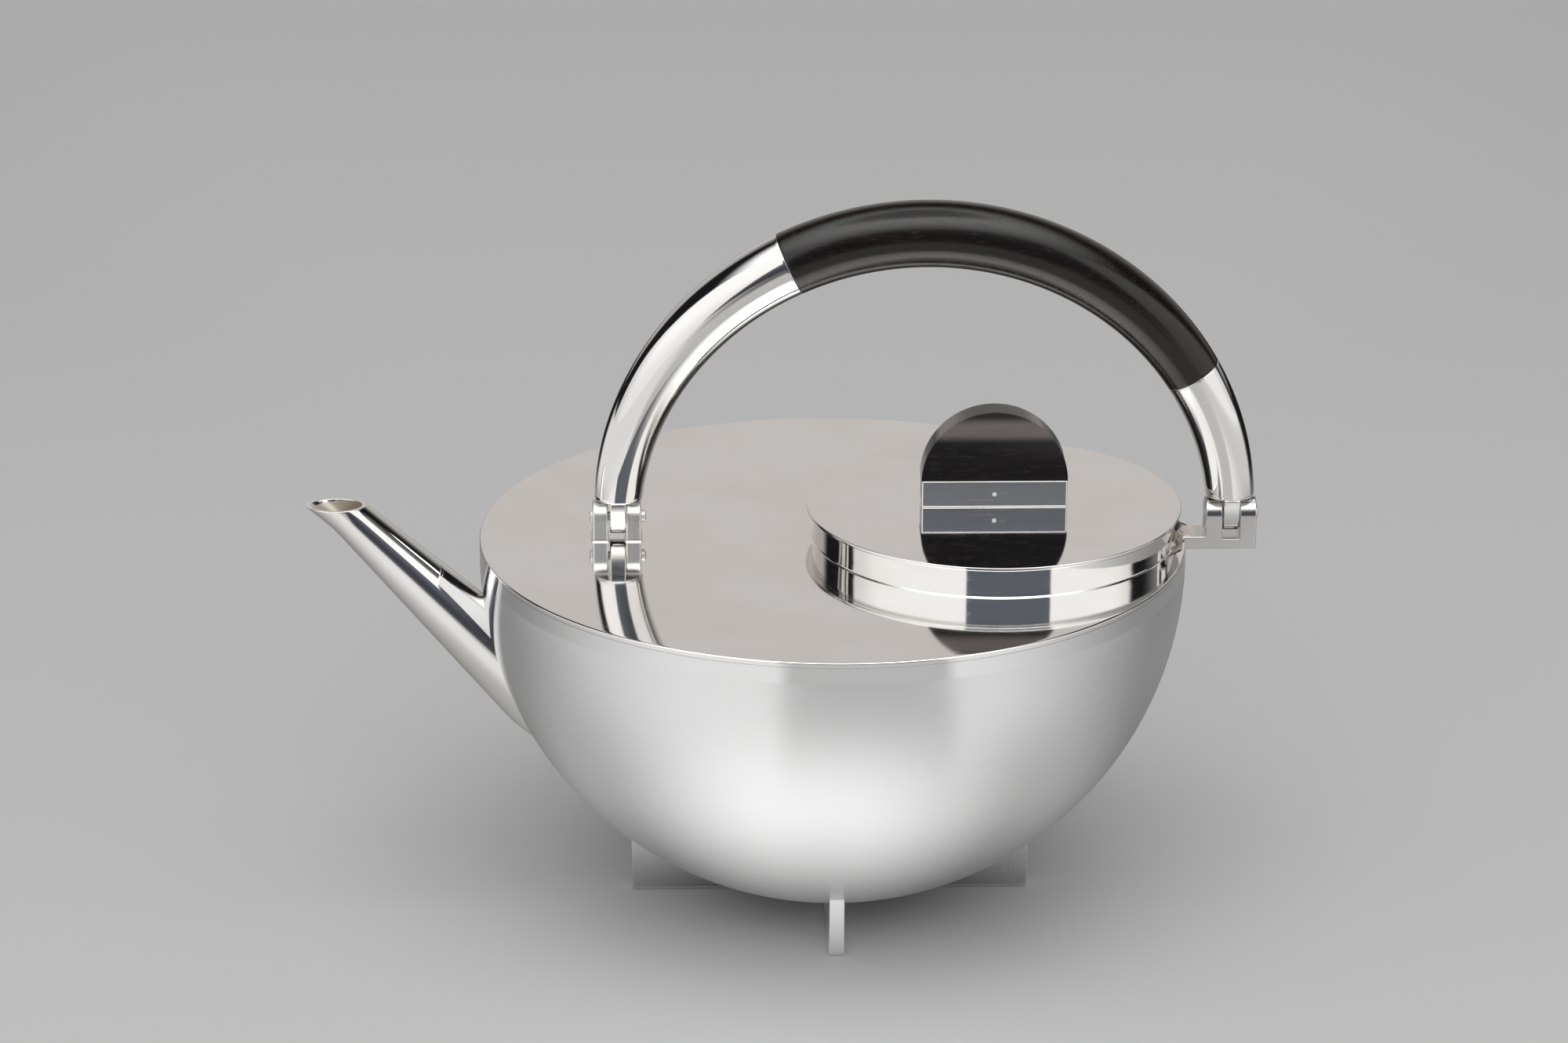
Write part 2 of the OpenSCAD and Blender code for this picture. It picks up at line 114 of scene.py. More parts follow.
class TeapotSizes(bpy.types.PropertyGroup):
    """Walls, edges and curves that the frame's boxes don't give."""

    bowl_wall: length("Bowl wall", "Thickness of the bowl's silver", 1.0)
    collar_wall: length("Collar wall", "Thickness of the collar", 1.2)
    bezel_wall: length("Bezel wall", "Thickness of the ring under the lid", 1.0)
    spout_wall: length("Spout wall", "Thickness of the spout's silver", 0.8)
    arm_wall: length("Arm wall", "Thickness of the bail's hollow arms", 0.9)
    holder_wall: length("Holder wall", "Thickness of the sides of the knob's holder", 1.2)
    plate_edge: length("Plate edge", "Rounding of the top plate's upper edge", 0.4)
    lid_edge: length("Lid edge", "Rounding of the lid's edge", 0.22)
    ear_edge: length("Ear edge", "Rounding of the hinge ears", 0.5)
    fork_edge: length("Fork edge", "Rounding of the bracket's fork", 0.32)
    tongue_edge: length("Tongue edge", "Rounding of the hinge tongues", 0.35)
    holder_edge: length("Holder edge", "Rounding of the knob's holder", 0.4)
    knob_edge: length("Knob edge", "Rounding of the ebony knob's edges", 0.16)
    foot_edge: length("Foot edge", "Rounding of the foot plates", 0.3)
    solder: length("Solder fillet", "Radius of the small fillets at soldered joints", 0.4)
    spout_r: length("Spout radius", "Radius of the spout where its axis crosses the bowl's radius", 8.0)
    spout_tip_r: length("Spout tip radius", "Radius of the spout at the middle of its mouth", 4.3)
    spout_drop: length("Spout drop", "Depth of the spout's axis below the plate at the bowl's radius", 24.0)
    spout_rise: angle("Spout rise", "Rise of the spout's axis above level", 44.8)
    lip_at: length("Lip at", "Distance short of the middle of the mouth where the lip starts to flare", 3.1)
    lip_flare: amount("Lip flare", "Growth of the radius for each unit of length along the lip", 0.07)
    heel_at: length("Heel at", "Distance down the axis at which the spout turns in to the bowl", 20.0)
    heel_length: length("Heel length", "Length of the turned-in heel", 16.0)
    hole: length("Strainer hole", "Diameter of each strainer hole", 2.4)
    hole_pitch: length("Strainer pitch", "Distance between strainer holes", 4.1)
    long_foot: length("Long foot", "Half the length of the long foot plate at the table", 45.4)
    cross_foot: length("Cross foot", "Half the length of the cross foot plate at the table", 40.5)
    bail_rise: length("Bail rise", "Height of the bail's centreline above its pivots", 66.7)
    bail_foot_r: length("Bail foot radius", "Radius of the bail at its hinges", 5.35)
    bail_swell: length("Bail swell", "Growth of the bail's radius up to its top", 2.2)
    right_joint: angle("Right joint", "Angle of the grip's joint above the bracket", 30.0)
    left_joint: angle("Left joint", "Angle of the grip's joint above the spout", 116.4)
    tongue_w: length("Tongue width", "Width of the hinge tongues along their pins", 3.6)
    slot_w: length("Slot width", "Width of the slot in the bracket's fork", 4.0)
    pin_r: length("Pin radius", "Radius of the pins", 1.0)
    flare: length("Bracket fillet", "Radius of the hollow fillet from the bracket up the collar", 5.0)
    flare_reach: angle("Fillet reach", "Angle that the bracket's fillet reaches round the collar", 24.0)


class TeapotFinish(bpy.types.PropertyGroup):
    """Colours and finishes of the silver and the ebony."""

    silver: colour("Silver", "Colour of the polished silver", 0.868, 0.860, 0.848)
    satin: colour("Satin silver", "Colour of the satin silver", 0.835, 0.835, 0.842)
    stained: colour("Stained silver", "Colour of silver that tea has stained", 0.74, 0.67, 0.58)
    pin: colour("Pin silver", "Colour of the pins' filed ends", 0.90, 0.87, 0.82)
    solder: colour("Solder", "Colour of the solder at the joints", 0.80, 0.72, 0.68)
    ebony: colour("Ebony", "Colour of the ebony", 0.007, 0.006, 0.0055)
    ebony_grain: colour("Ebony grain", "Colour of the lighter lines in the ebony", 0.022, 0.014, 0.011)
    # Painted sheen: this lighter grey is painted on the knob's face near its top in place of a highlight. It
    # is not wear.
    painted_sheen_grey: colour("Worn ebony", "Colour of the ebony where fingers have worn it", 0.190, 0.165, 0.157)
    polish: amount("Polish roughness", "Roughness of the polished silver", 0.055)
    satin_rough: amount("Satin roughness", "Roughness of the satin silver", 0.27)
    ebony_rough: amount("Ebony roughness", "Roughness of the ebony", 0.17)


class TeapotStudio(bpy.types.PropertyGroup):
    """Floor, room and lamps."""

    floor: colour("Floor", "Colour of the floor", 0.60, 0.60, 0.60)
    ambient: colour("Ambient light", "Colour of the light from all round", 0.50, 0.50, 0.50)
    back_wall: colour("Back wall", "Colour of the wall that the flat plate mirrors", 0.60, 0.575, 0.56)
    dark: colour("Dark front", "Colour of the dark front of the room", 0.056, 0.061, 0.074)
    black: colour("Black side", "Colour of the cloth at the sides of the back wall", 0.010, 0.010, 0.012)
    white: amount("Soft boxes", "Brightness of the soft boxes at the sides", 1.04, 5.0)
    overhead: amount("Overhead", "Brightness of the soft box overhead", 3.4, 5.0)
    lamp: amount("Lamps", "Brightness of the lamps on the table", 1.0, 9.0)


class TeapotSettings(bpy.types.PropertyGroup):
    """Everything that can be changed."""

    sizes: bpy.props.PointerProperty(type=TeapotSizes)
    finish: bpy.props.PointerProperty(type=TeapotFinish)
    studio: bpy.props.PointerProperty(type=TeapotStudio)


# ---- node trees


class Value:
    """One output of a node. Arithmetic on it in Python adds the Math nodes that work it out."""

    def __init__(self, nodes, output):
        self.nodes, self.output = nodes, output

    def math(self, operation, *values):
        return self.nodes.add("ShaderNodeMath", {"operation": operation}, dict(enumerate(values)))

    def __add__(self, other):
        return self.math("ADD", self, other)

    def __sub__(self, other):
        return self.math("SUBTRACT", self, other)

    def __rsub__(self, other):
        return self.math("SUBTRACT", other, self)

    def __mul__(self, other):
        return self.math("MULTIPLY", self, other)

    def __truediv__(self, other):
        return self.math("DIVIDE", self, other)

    def __pow__(self, other):
        return self.math("POWER", self, other)

    def __abs__(self):
        return self.math("ABSOLUTE", self)

    __radd__ = __add__
    __rmul__ = __mul__

    def step(self, low, high):
        """0 below low, 1 above high, smooth between them."""
        return self.nodes.add(
            "ShaderNodeMapRange", {"interpolation_type": "SMOOTHSTEP"},
            {"Value": self, "From Min": low, "From Max": high},
        )

    def within(self, low, high, soft):
        """1 between low and high, 0 outside them, with soft edges."""
        return self.step(low - soft, low + soft) * (1 - self.step(high - soft, high + soft))


class Nodes:
    """A node tree that is being laid out."""

    def __init__(self, tree):
        self.tree = tree
        tree.nodes.clear()

    def add(self, kind, settings=None, sockets=None, output=0):
        """A node of this type, its settings made first, then its sockets' values or links."""
        node = self.tree.nodes.new(kind)
        for name, value in (settings or {}).items():
            setattr(node, name, value)
        for name, value in (sockets or {}).items():
            if isinstance(value, Value):
                self.tree.links.new(value.output, node.inputs[name])
            elif len(np.shape(value)) == 1 and node.inputs[name].type == "RGBA":
                node.inputs[name].default_value = (*value, 1)
            else:
                node.inputs[name].default_value = value
        return Value(self, node.outputs[output] if len(node.outputs) else None)

    def place(self):
        """The point on the piece, in metres, as it was made."""
        return self.add("ShaderNodeTexCoord", output="Object")

    def axes(self, vector):
        """The three parts of a vector."""
        parts = self.add("ShaderNodeSeparateXYZ", None, {"Vector": vector})
        return [Value(self, output) for output in parts.output.node.outputs]

    def vector(self, x, y, z):
        return self.add("ShaderNodeCombineXYZ", None, {"X": x, "Y": y, "Z": z})

    def around(self, x, y):
        """Degrees round from the front towards +X."""
        return x.math("ARCTAN2", x, 0 - y) * (180 / math.pi)

    def noise(self, vector, scale=1.0, detail=2.0, roughness=0.5):
        return self.add(
            "ShaderNodeTexNoise", None,
            {"Vector": vector, "Scale": scale, "Detail": detail, "Roughness": roughness},
        )

    def blend(self, amount, first, second):
        """One colour where amount is 0 and another where it is 1."""
        return self.add(
            "ShaderNodeMix", {"data_type": "RGBA"}, {"Factor": amount, 6: first, 7: second}, output=2
        )

    def bump(self, height, strength, distance):
        return self.add(
            "ShaderNodeBump", None, {"Height": height, "Strength": strength, "Distance": distance}
        )

    def surface(self, **sockets):
        """A Principled surface as the material's output. Names are the sockets' own, with _ for a space."""
        shader = self.add(
            "ShaderNodeBsdfPrincipled", None,
            {name.replace("_", " "): value for name, value in sockets.items()},
        )
        self.add("ShaderNodeOutputMaterial", None, {"Surface": shader})


def new_material(name):
    """A material and its empty node tree, or no tree where the material was made before."""
    found = bpy.data.materials.get(name)
    if found:
        return found, None
    material = bpy.data.materials.new(name)
    material.use_nodes = True
    return material, Nodes(material.node_tree)


# ---- finishes


def straight_lines(across, along, axis=0):
    """Brushing lines that run along an axis: how the noise's coordinates are stretched."""
    scale = [across] * 3
    scale[axis] = along
    return lambda nodes, place: nodes.add("ShaderNodeMapping", None, {"Vector": place, "Scale": scale})


def turned_lines(across, along, centre=(0.0, 0.0, 0.0), axis=2):
    """Brushing lines that run round an axis through centre, as a lathe or a buffing wheel leaves them."""

    def coordinates(nodes, place):
        parts = nodes.axes(place)
        first, second = (parts[i] - centre[i] for i in range(3) if i != axis)
        radius = (first * first + second * second) ** 0.5
        return nodes.vector(
            first / radius * along + radius * across, second / radius * along, parts[axis] * across
        )

    return coordinates


def shaded(base, *shares):
    """Another tone of a colour, from one share for all of it or one for each of its three parts."""
    return [part * share for part, share in zip(base, shares * 3)]


def polished_silver(name, lines, roughness=None, marks=1.0, base=None, metallic=1.0, smear=0.0):
    """Polished silver with faint brushing, hairline scratches and a slightly uneven polish. smear
    spreads what upright faces mirror sideways, as upright brushing does."""
    material, nodes = new_material(name)
    if nodes is None:
        return material
    finish = bpy.context.scene.teapot.finish
    base = base or finish.silver
    roughness = finish.polish if roughness is None else roughness
    place = nodes.place()
    brushing = nodes.noise(lines(nodes, place), detail=3.0, roughness=0.62)
    broad = nodes.noise(place, scale=42.0)
    fine = nodes.noise(place, scale=900.0)
    ridge = 1 - abs(nodes.noise(lines(nodes, place), scale=0.31, detail=0.0) - 0.5).step(0.0, 0.012)
    hairline = ridge * nodes.noise(place, scale=130.0).step(0.56, 0.68)
    nodes.surface(
        Base_Color=nodes.blend(broad.step(0.35, 0.7), base, shaded(base, 0.965, 0.955, 0.94)),
        Metallic=metallic,
        Roughness=roughness + (brushing - 0.5) * (0.07 * marks) + (broad - 0.5) * 0.03
        + hairline * (0.16 * marks),
        Normal=nodes.bump(brushing + fine * 0.4 + hairline * 0.8, 0.10 * marks, 0.012 * MM),
        Anisotropic=smear,
    )
    return material


def rivet_silver():
    """The pale, filed silver of the pins' ends."""
    base = bpy.context.scene.teapot.finish.pin
    return polished_silver(
        "silver_rivet", straight_lines(3000.0, 300.0), roughness=0.40, base=base, metallic=0.6
    )


def solder_silver():
    """The warmer, unevenly polished silver of the soldered joints."""
    base = bpy.context.scene.teapot.finish.solder
    return polished_silver(
        "silver_solder", straight_lines(900.0, 300.0), roughness=0.16, marks=1.4, base=base
    )


def flat_silver(name):
    """The fine straight polish of the top plate and the lid."""
    return polished_silver(name, straight_lines(2600.0, 40.0), marks=0.55)


def satin_silver(name, polish_above, halo=None):
    """Silver finished on the lathe: fine turned lines that smear what it mirrors up and down, with a
    polished band above the height polish_above and a polished patch round the spout's root."""
    material, nodes = new_material(name)
    if nodes is None:
        return material
    finish = bpy.context.scene.teapot.finish
    place = nodes.place()
    x, y, z = nodes.axes(place)
    turned_fine = nodes.noise(turned_lines(9000.0, 14.0)(nodes, place), roughness=0.6)
    turned_coarse = nodes.noise(turned_lines(1300.0, 5.0)(nodes, place), roughness=0.6)
    grain = nodes.noise(place, scale=4200.0, roughness=0.6)
    broad = nodes.noise(place, scale=30.0)
    matt = 1 - z.step(polish_above - 0.3 * MM, polish_above + 0.3 * MM)
    if halo:
        distance = ((x - halo[0]) ** 2.0 + y * y + (z - halo[1]) ** 2.0) ** 0.5
        matt = matt * (distance.step(halo[2], halo[3]) * 0.85 + 0.15)
    nodes.surface(
        Base_Color=nodes.blend(broad.step(0.3, 0.7), finish.satin, shaded(finish.satin, 0.97, 0.97, 0.975)),
        Metallic=1.0,
        Roughness=0.07 + matt * (finish.satin_rough - 0.07)
        + matt * ((turned_coarse - 0.5) * 0.02 + (grain - 0.5) * 0.015 + (broad - 0.5) * 0.03),
        Normal=nodes.bump(turned_fine * matt + grain * matt * 0.2, 0.045, 0.004 * MM),
        Anisotropic=0.75,
        Anisotropic_Rotation=0.25,
    )
    return material


def ebony(name, sheen_heights=None):
    """Close-grained ebony: near black, with fine lighter lines and open pores along X, and where two heights
    are given
    a painted sheen between them: a lighter grey that stands in for a highlight."""
    material, nodes = new_material(name)
    if nodes is None:
        return material
    finish = bpy.context.scene.teapot.finish
    place = nodes.place()
    lines = nodes.noise(straight_lines(1500.0, 45.0)(nodes, place), detail=4.0, roughness=0.65)
    bands = nodes.noise(straight_lines(260.0, 12.0)(nodes, place))
    pores = nodes.noise(straight_lines(3200.0, 260.0)(nodes, place), detail=1.0).step(0.62, 0.70)
    base = nodes.blend(
        lines.step(0.42, 0.78) * (bands.step(0.3, 0.75) * 0.8 + 0.2), finish.ebony, finish.ebony_grain
    )
    # Painted sheen: a lighter band between two heights, broken up by the grain, is painted into the base
    # colour in place of a highlight.
    if sheen_heights:
        painted_sheen_mask = nodes.axes(place)[2].within(*sheen_heights, 1.2 * MM) * (lines * 0.6 + 0.5)
        base = nodes.blend(painted_sheen_mask, base, finish.painted_sheen_grey)
    nodes.surface(
        Base_Color=base,
        Roughness=finish.ebony_rough + (lines - 0.5) * 0.12 + (bands - 0.5) * 0.08 + pores * 0.2,
        Normal=nodes.bump(lines * 0.5 - pores, 0.16, 0.025 * MM),
        IOR=1.5,
    )
    return material


def paper(name, value):
    """Matt paper of a slightly uneven colour."""
    material, nodes = new_material(name)
    cloud = nodes.noise(nodes.place(), scale=3.0)
    nodes.surface(Base_Color=nodes.blend(cloud, value, shaded(value, 0.985)), Roughness=0.85)
    return material


# ---- meshes


def unit(vectors):
    """Vectors brought to length 1."""
    return vectors / np.linalg.norm(vectors, axis=-1, keepdims=True)


def arc(radius, start, end, count, across=0.0, up=0.0):
    """Points (across, up) on an arc about a centre."""
    turn = np.linspace(start, end, count)
    return np.stack([across + radius * np.cos(turn), up + radius * np.sin(turn)], axis=1)


def shell(rings, ends="capped"):
    """Rings of points, each joined to the next. The first and last are "capped", "joined" or left "open"."""
    rows, columns = len(rings), len(rings[0])
    faces = []
    for i in range(rows if ends == "joined" else rows - 1):
        a, b = i * columns, (i + 1) % rows * columns
        faces += [(a + j, a + (j + 1) % columns, b + (j + 1) % columns, b + j) for j in range(columns)]
    if ends == "capped":
        last = rows * columns - 1
        faces += [tuple(range(columns)), tuple(range(last, last - columns, -1))]
    return np.concatenate(rings), faces


def joined(*shapes):
    """Several shapes, each its points and faces, as one."""
    points, faces, count = [], [], 0
    for shape_points, shape_faces in shapes:
        points.append(shape_points)
        faces += [tuple(v + count for v in face) for face in shape_faces]
        count += len(shape_points)
    return np.concatenate(points), faces


def rounded(outline, steps=6):
    """The points of a closed outline of (across, up, corner radius), each corner an arc."""
    corners = [np.array(p[:2], float) for p in outline]
    points = []
    for i, corner in enumerate(corners):
        radius = outline[i][2]
        if not radius:
            points.append(corner)
            continue
        back, ahead = unit(corners[i - 1] - corner), unit(corners[(i + 1) % len(corners)] - corner)
        half = math.acos(max(-1.0, min(1.0, back @ ahead))) / 2
        middle = corner + unit(back + ahead) * radius / math.sin(half)
        first = corner + back * radius / math.tan(half) - middle
        last = corner + ahead * radius / math.tan(half) - middle
        turn = math.atan2(first[0] * last[1] - first[1] * last[0], first @ last)
        for k in range(steps + 1):
            c, s = math.cos(turn * k / steps), math.sin(turn * k / steps)
            points.append(middle + (first[0] * c - first[1] * s, first[0] * s + first[1] * c))
    return np.array(points)


def turned(profile, centre=(0.0, 0.0), axis=2, segments=320, ends="joined"):
    """A profile of (radius, distance along the axis) turned about an axis through centre."""
    profile = np.asarray(profile, float)
    turn = np.linspace(0, 2 * math.pi, segments, endpoint=False)
    flat = [i for i in range(3) if i != axis]
    points = np.zeros((len(profile), segments, 3))
    points[:, :, flat[0]] = centre[0] + profile[:, :1] * np.cos(turn)
    points[:, :, flat[1]] = centre[1] + profile[:, :1] * np.sin(turn)
    points[:, :, axis] = profile[:, 1:]
    return shell(points, ends)


def pulled(outline, axis, low, high):
    """A flat outline pulled along an axis from low to high. The outline's two values are the other axes."""
    return shell([np.insert(np.asarray(outline, float), axis, at, axis=1) for at in (low, high)])


def block(low, high):
    """A box from its lowest to its highest corner."""
    outline = [(low[0], low[1]), (high[0], low[1]), (high[0], high[1]), (low[0], high[1])]
    return pulled(outline, 2, low[2], high[2])


def skirt(low, high, foot_z, radius):
    """A hollow fillet of solder round the foot of a block from low to high, on a level surface."""
    rings = []
    for t in np.linspace(0, QUARTER, 7):
        out, up = radius * (1 - math.sin(t)), radius * (1 - math.cos(t))
        x0, y0, x1, y1, corner = low.x - out, low.y - out, high.x + out, high.y + out, out + 0.05 * MM
        outline = rounded([(x0, y0, corner), (x1, y0, corner), (x1, y1, corner), (x0, y1, corner)], 4)
        rings.append(np.insert(outline, 2, foot_z + up, axis=1))
    inner, foot = rings[-1].copy(), rings[0].copy()
    middle = inner.mean(0)[:2]
    inner[:, :2] = middle + (inner[:, :2] - middle) * 0.9
    foot[:, 2] = foot_z - 0.1 * MM
    return shell(rings + [inner, foot], "joined")


def new_object(name, shape):
    """A shape as an object, its double points merged, its faces turned outward and shaded smooth."""
    mesh = bpy.data.meshes.new(name)
    mesh.from_pydata(shape[0].tolist(), [], shape[1])
    form = bmesh.new()
    form.from_mesh(mesh)
    bmesh.ops.remove_doubles(form, verts=form.verts, dist=1e-7)
    bmesh.ops.dissolve_degenerate(form, edges=form.edges, dist=1e-8)
    bmesh.ops.recalc_face_normals(form, faces=form.faces)
    for face in form.faces:
        face.smooth = True
    form.to_mesh(mesh)
    form.free()
    made = bpy.data.objects.new(name, mesh)
    bpy.context.scene.collection.objects.link(made)
    return made


def apply_solid(piece, operation, shape):
    """Adds a closed shape to a piece or takes it away."""
    tool = new_object("tool", shape)
    solid = piece.modifiers.new("Solid", "BOOLEAN")
    solid.operation, solid.object, solid.solver = operation, tool, "EXACT"
    done = bpy.data.meshes.new_from_object(piece.evaluated_get(bpy.context.evaluated_depsgraph_get()))
    piece.modifiers.clear()
    piece.data = done
    bpy.data.objects.remove(tool)
    for face in done.polygons:
        face.use_smooth = True


def make_piece(
    node, body, shape, *materials, slot="silver_polished", edge=0.0, segments=4, pick=None, carve=()
):
    """A piece that stands for the CAD node of that name and rides on its body.

    pick gives a face's material from its middle and normal. carve lists shapes to add or take away.
    """
    piece = new_object(node + "_surface", shape)
    for operation, other in carve:
        apply_solid(piece, operation, other)
    for material in materials:
        piece.data.materials.append(material)
    if pick:
        for face in piece.data.polygons:
            face.material_index = pick(face.center, face.normal)
    if edge:
        bevel = piece.modifiers.new("Edges", "BEVEL")
        bevel.width, bevel.segments = edge, segments
        bevel.limit_method, bevel.angle_limit = "ANGLE", math.radians(32)
        bevel.miter_outer = "MITER_ARC"
    else:
        piece.data.set_sharp_from_angle(angle=math.radians(38))
    weighted = piece.modifiers.new("Normals", "WEIGHTED_NORMAL")
    weighted.keep_sharp, weighted.weight = True, 50
    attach(piece, body)
    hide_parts(node)
    if len(piece.data.polygons) < 6:
        raise RuntimeError(f"{node}: the surface came out empty")


def make_part(name, body, shape, material):
    """A piece that adds a detail to a body and stands for no node."""
    part = new_object(name, shape)
    part.data.set_sharp_from_angle(angle=math.radians(50))
    part.data.materials.append(material)
    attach(part, body)


# ---- shapes of the pot


def spout_line(sizes):
    """The spout's axis: its point on the bowl's radius, its direction, and the direction up across it."""
    rise = sizes.spout_rise
    return (
        np.array([-BOWL_R, 0.0, PLATE_Z - sizes.spout_drop]),
        np.array([-math.cos(rise), 0.0, math.sin(rise)]),
        np.array([math.sin(rise), 0.0, math.cos(rise)]),
    )


def spout_shape(sizes, turns=160, rows=44):
    """The spout's shell: out of the bowl, up to its level mouth, over the lip and down its bore."""
    start, along, over = spout_line(sizes)
    mouth_z, rise = spout_high.z, sizes.spout_rise
    taper = (sizes.spout_r - sizes.spout_tip_r) * math.sin(rise) / (mouth_z - start[2])
    heel_top = sizes.spout_r + sizes.heel_at * taper
    centre = np.array([0.0, 0.0, BALL_Z])
    far = start - along * (sizes.heel_at + sizes.heel_length) - centre
    reach = -far @ over
    heel_r = math.sqrt(reach**2 - far @ far + (BOWL_R - 1.5 * MM) ** 2) - reach
    turn_in = (heel_top - heel_r) / sizes.heel_length
    lip_t = (mouth_z - start[2]) / math.sin(rise) - sizes.lip_at
    lip_r = sizes.spout_r - lip_t * taper
    turn = np.linspace(0, 2 * math.pi, turns, endpoint=False)[:, None, None]
    spoke = np.cos(turn) * over + np.sin(turn) * np.array([0.0, 1.0, 0.0])

    def radius(t):
        """The cone's radius, turned in softly at the heel and flared at the lip."""
        heel_soft, lip_soft = 0.25 * MM, 0.12 * MM
        cone = sizes.spout_r - t * taper - heel_top
        heel = (t + sizes.heel_at) * turn_in
        cone = heel_top - heel_soft * np.log(np.exp(-cone / heel_soft) + np.exp(-heel / heel_soft))
        lip = lip_r + (t - lip_t) * sizes.lip_flare
        return np.maximum(cone, lip) + lip_soft * np.log1p(np.exp(-np.abs(cone - lip) / lip_soft))

    def wall(thickness, sink):
        """Lines of points down one side of the silver, from the mouth to where they meet the bowl."""

        def points(t):
            return start + t[..., None] * along + (radius(t) - thickness)[..., None] * spoke

        t, line = np.linspace(60 * MM, -36 * MM, 1921), np.arange(turns)
        tried = points(t[None])
        inside = np.linalg.norm(tried - centre, axis=2) < BOWL_R - sink
        if not inside.any(axis=1).all():
            raise RuntimeError("the spout doesn't reach the bowl")
        mouth, root = np.argmax(tried[:, :, 2] < mouth_z, axis=1), np.argmax(inside, axis=1)
        above, below = tried[line, mouth - 1, 2], tried[line, mouth, 2]
        top = t[mouth - 1] + (t[mouth] - t[mouth - 1]) * (above - mouth_z) / (above - below)
        return points(top[:, None] + (t[root] - top)[:, None] * np.linspace(0, 1, rows) ** 1.15)

    outer, inner = wall(0.0, 0.3 * MM), wall(sizes.spout_wall, 0.0)
    a, b, corner, s = outer[:, :1], inner[:, :1], 0.24 * MM, np.linspace(0, 1, 6)[:, None]
    across = unit(b - a)
    lip = (
        a + unit(outer[:, 1:2] - a) * corner * (1 - s) ** 2 + across * corner * s**2,
        b - across * corner * (1 - s) ** 2 + unit(inner[:, 1:2] - b) * corner * s**2,
    )
    lines = np.concatenate([outer[:, :0:-1], *lip, inner[:, 1:]], axis=1)
    return shell(lines.transpose(1, 0, 2), "joined")


def strainer_holes(sizes):
    """The plain holes that pass through the bowl's wall into the spout."""
    bore, rise, hole_r = sizes.spout_r - sizes.spout_wall, sizes.spout_rise, sizes.hole / 2
    drop = sizes.spout_drop - (PLATE_Z - BALL_Z)
    slant = BOWL_R * math.cos(rise) - drop * math.sin(rise)
    into = slant - math.sqrt(slant**2 - drop**2)
    lean = math.asin((drop + into * math.sin(rise)) / BOWL_R)
    half_w, half_h = bore - 1 * MM - hole_r, bore / math.cos(rise + lean) - 1 * MM - hole_r
    row = sizes.hole_pitch * math.sin(math.radians(60))
    count = int(half_h / row)
    low, high = BOWL_R - 2.2 * MM, BOWL_R + 1 * MM
    points, faces = turned([(0, low), (hole_r, low), (hole_r, high), (0, high)], segments=32, ends="open")
    holes = []
    for i in range(-count, count + 1):
        for j in range(-2, 3):
            across, up = sizes.hole_pitch * (j + i % 2 / 2), row * i
            if (across / half_w) ** 2 + (up / half_h) ** 2 <= 1:
                turn = np.array(
                    Matrix.Translation((0, 0, BALL_Z))
                    @ Matrix.Rotation(-QUARTER - lean + up / BOWL_R, 4, "Y")
                    @ Matrix.Rotation(math.asin(across / BOWL_R), 4, "X")
                )
                holes.append((points @ turn[:3, :3].T + turn[:3, 3], faces))
    return joined(*holes)


class Bail:
    """The bail's centreline, half an ellipse over both hinges, and its round section."""

    def __init__(self, sizes):
        self.rise, self.half = sizes.bail_rise, (RIGHT_X - LEFT_X) / 2
        self.foot_r, self.swell = sizes.bail_foot_r, sizes.bail_swell
        self.foot = math.asin((left_tongue_high.z - PIVOT_Z) / self.rise)

    def past(self, a, distance):
        """The angle that lies a short distance along the bail beyond the angle a."""
        return a + distance / math.hypot(self.half * math.sin(a), self.rise * math.cos(a))

    def radius(self, a):
        return self.foot_r + self.swell * math.sin(a)

    def centre(self, a):
        return np.array([BAIL_X + self.half * math.cos(a), 0.0, PIVOT_Z + self.rise * math.sin(a)])

    def ring(self, a, r):
        """A ring of points square to the centreline, or level at the bail's feet."""
        level = 0.0 if a < self.foot + 1e-4 else math.pi if a > math.pi - self.foot - 1e-4 else a
        lean = math.atan2(self.rise * math.cos(level), -self.half * math.sin(level))
        w = np.linspace(0, 2 * math.pi, BAIL_SIDES, endpoint=False)
        spoke = [-math.sin(lean) * np.cos(w), np.sin(w), math.cos(lean) * np.cos(w)]
        return self.centre(a) + r * np.stack(spoke, axis=1)

    def shape(self, stations, ends):
        """Rings at (angle, radius) stations, one after another."""
        return shell([self.ring(a, r) for a, r in stations], ends)

    def plain(self, first, last, count, inset=0.0):
        """Stations from one angle to another, on the section's outside or inset from it."""
        return [(a, self.radius(a) - inset) for a in np.linspace(first, last, count)]

    def eased(self, joint, side, edge):
        """Stations that round the outer edge at a joint. side is 1 where the piece lies at larger angles."""
        found = []
        for t in np.linspace(QUARTER, 0, 5):
            a = self.past(joint, side * edge * (1 - math.sin(t)))
            found.append((a, self.radius(a) - edge * (1 - math.cos(t))))
        return found


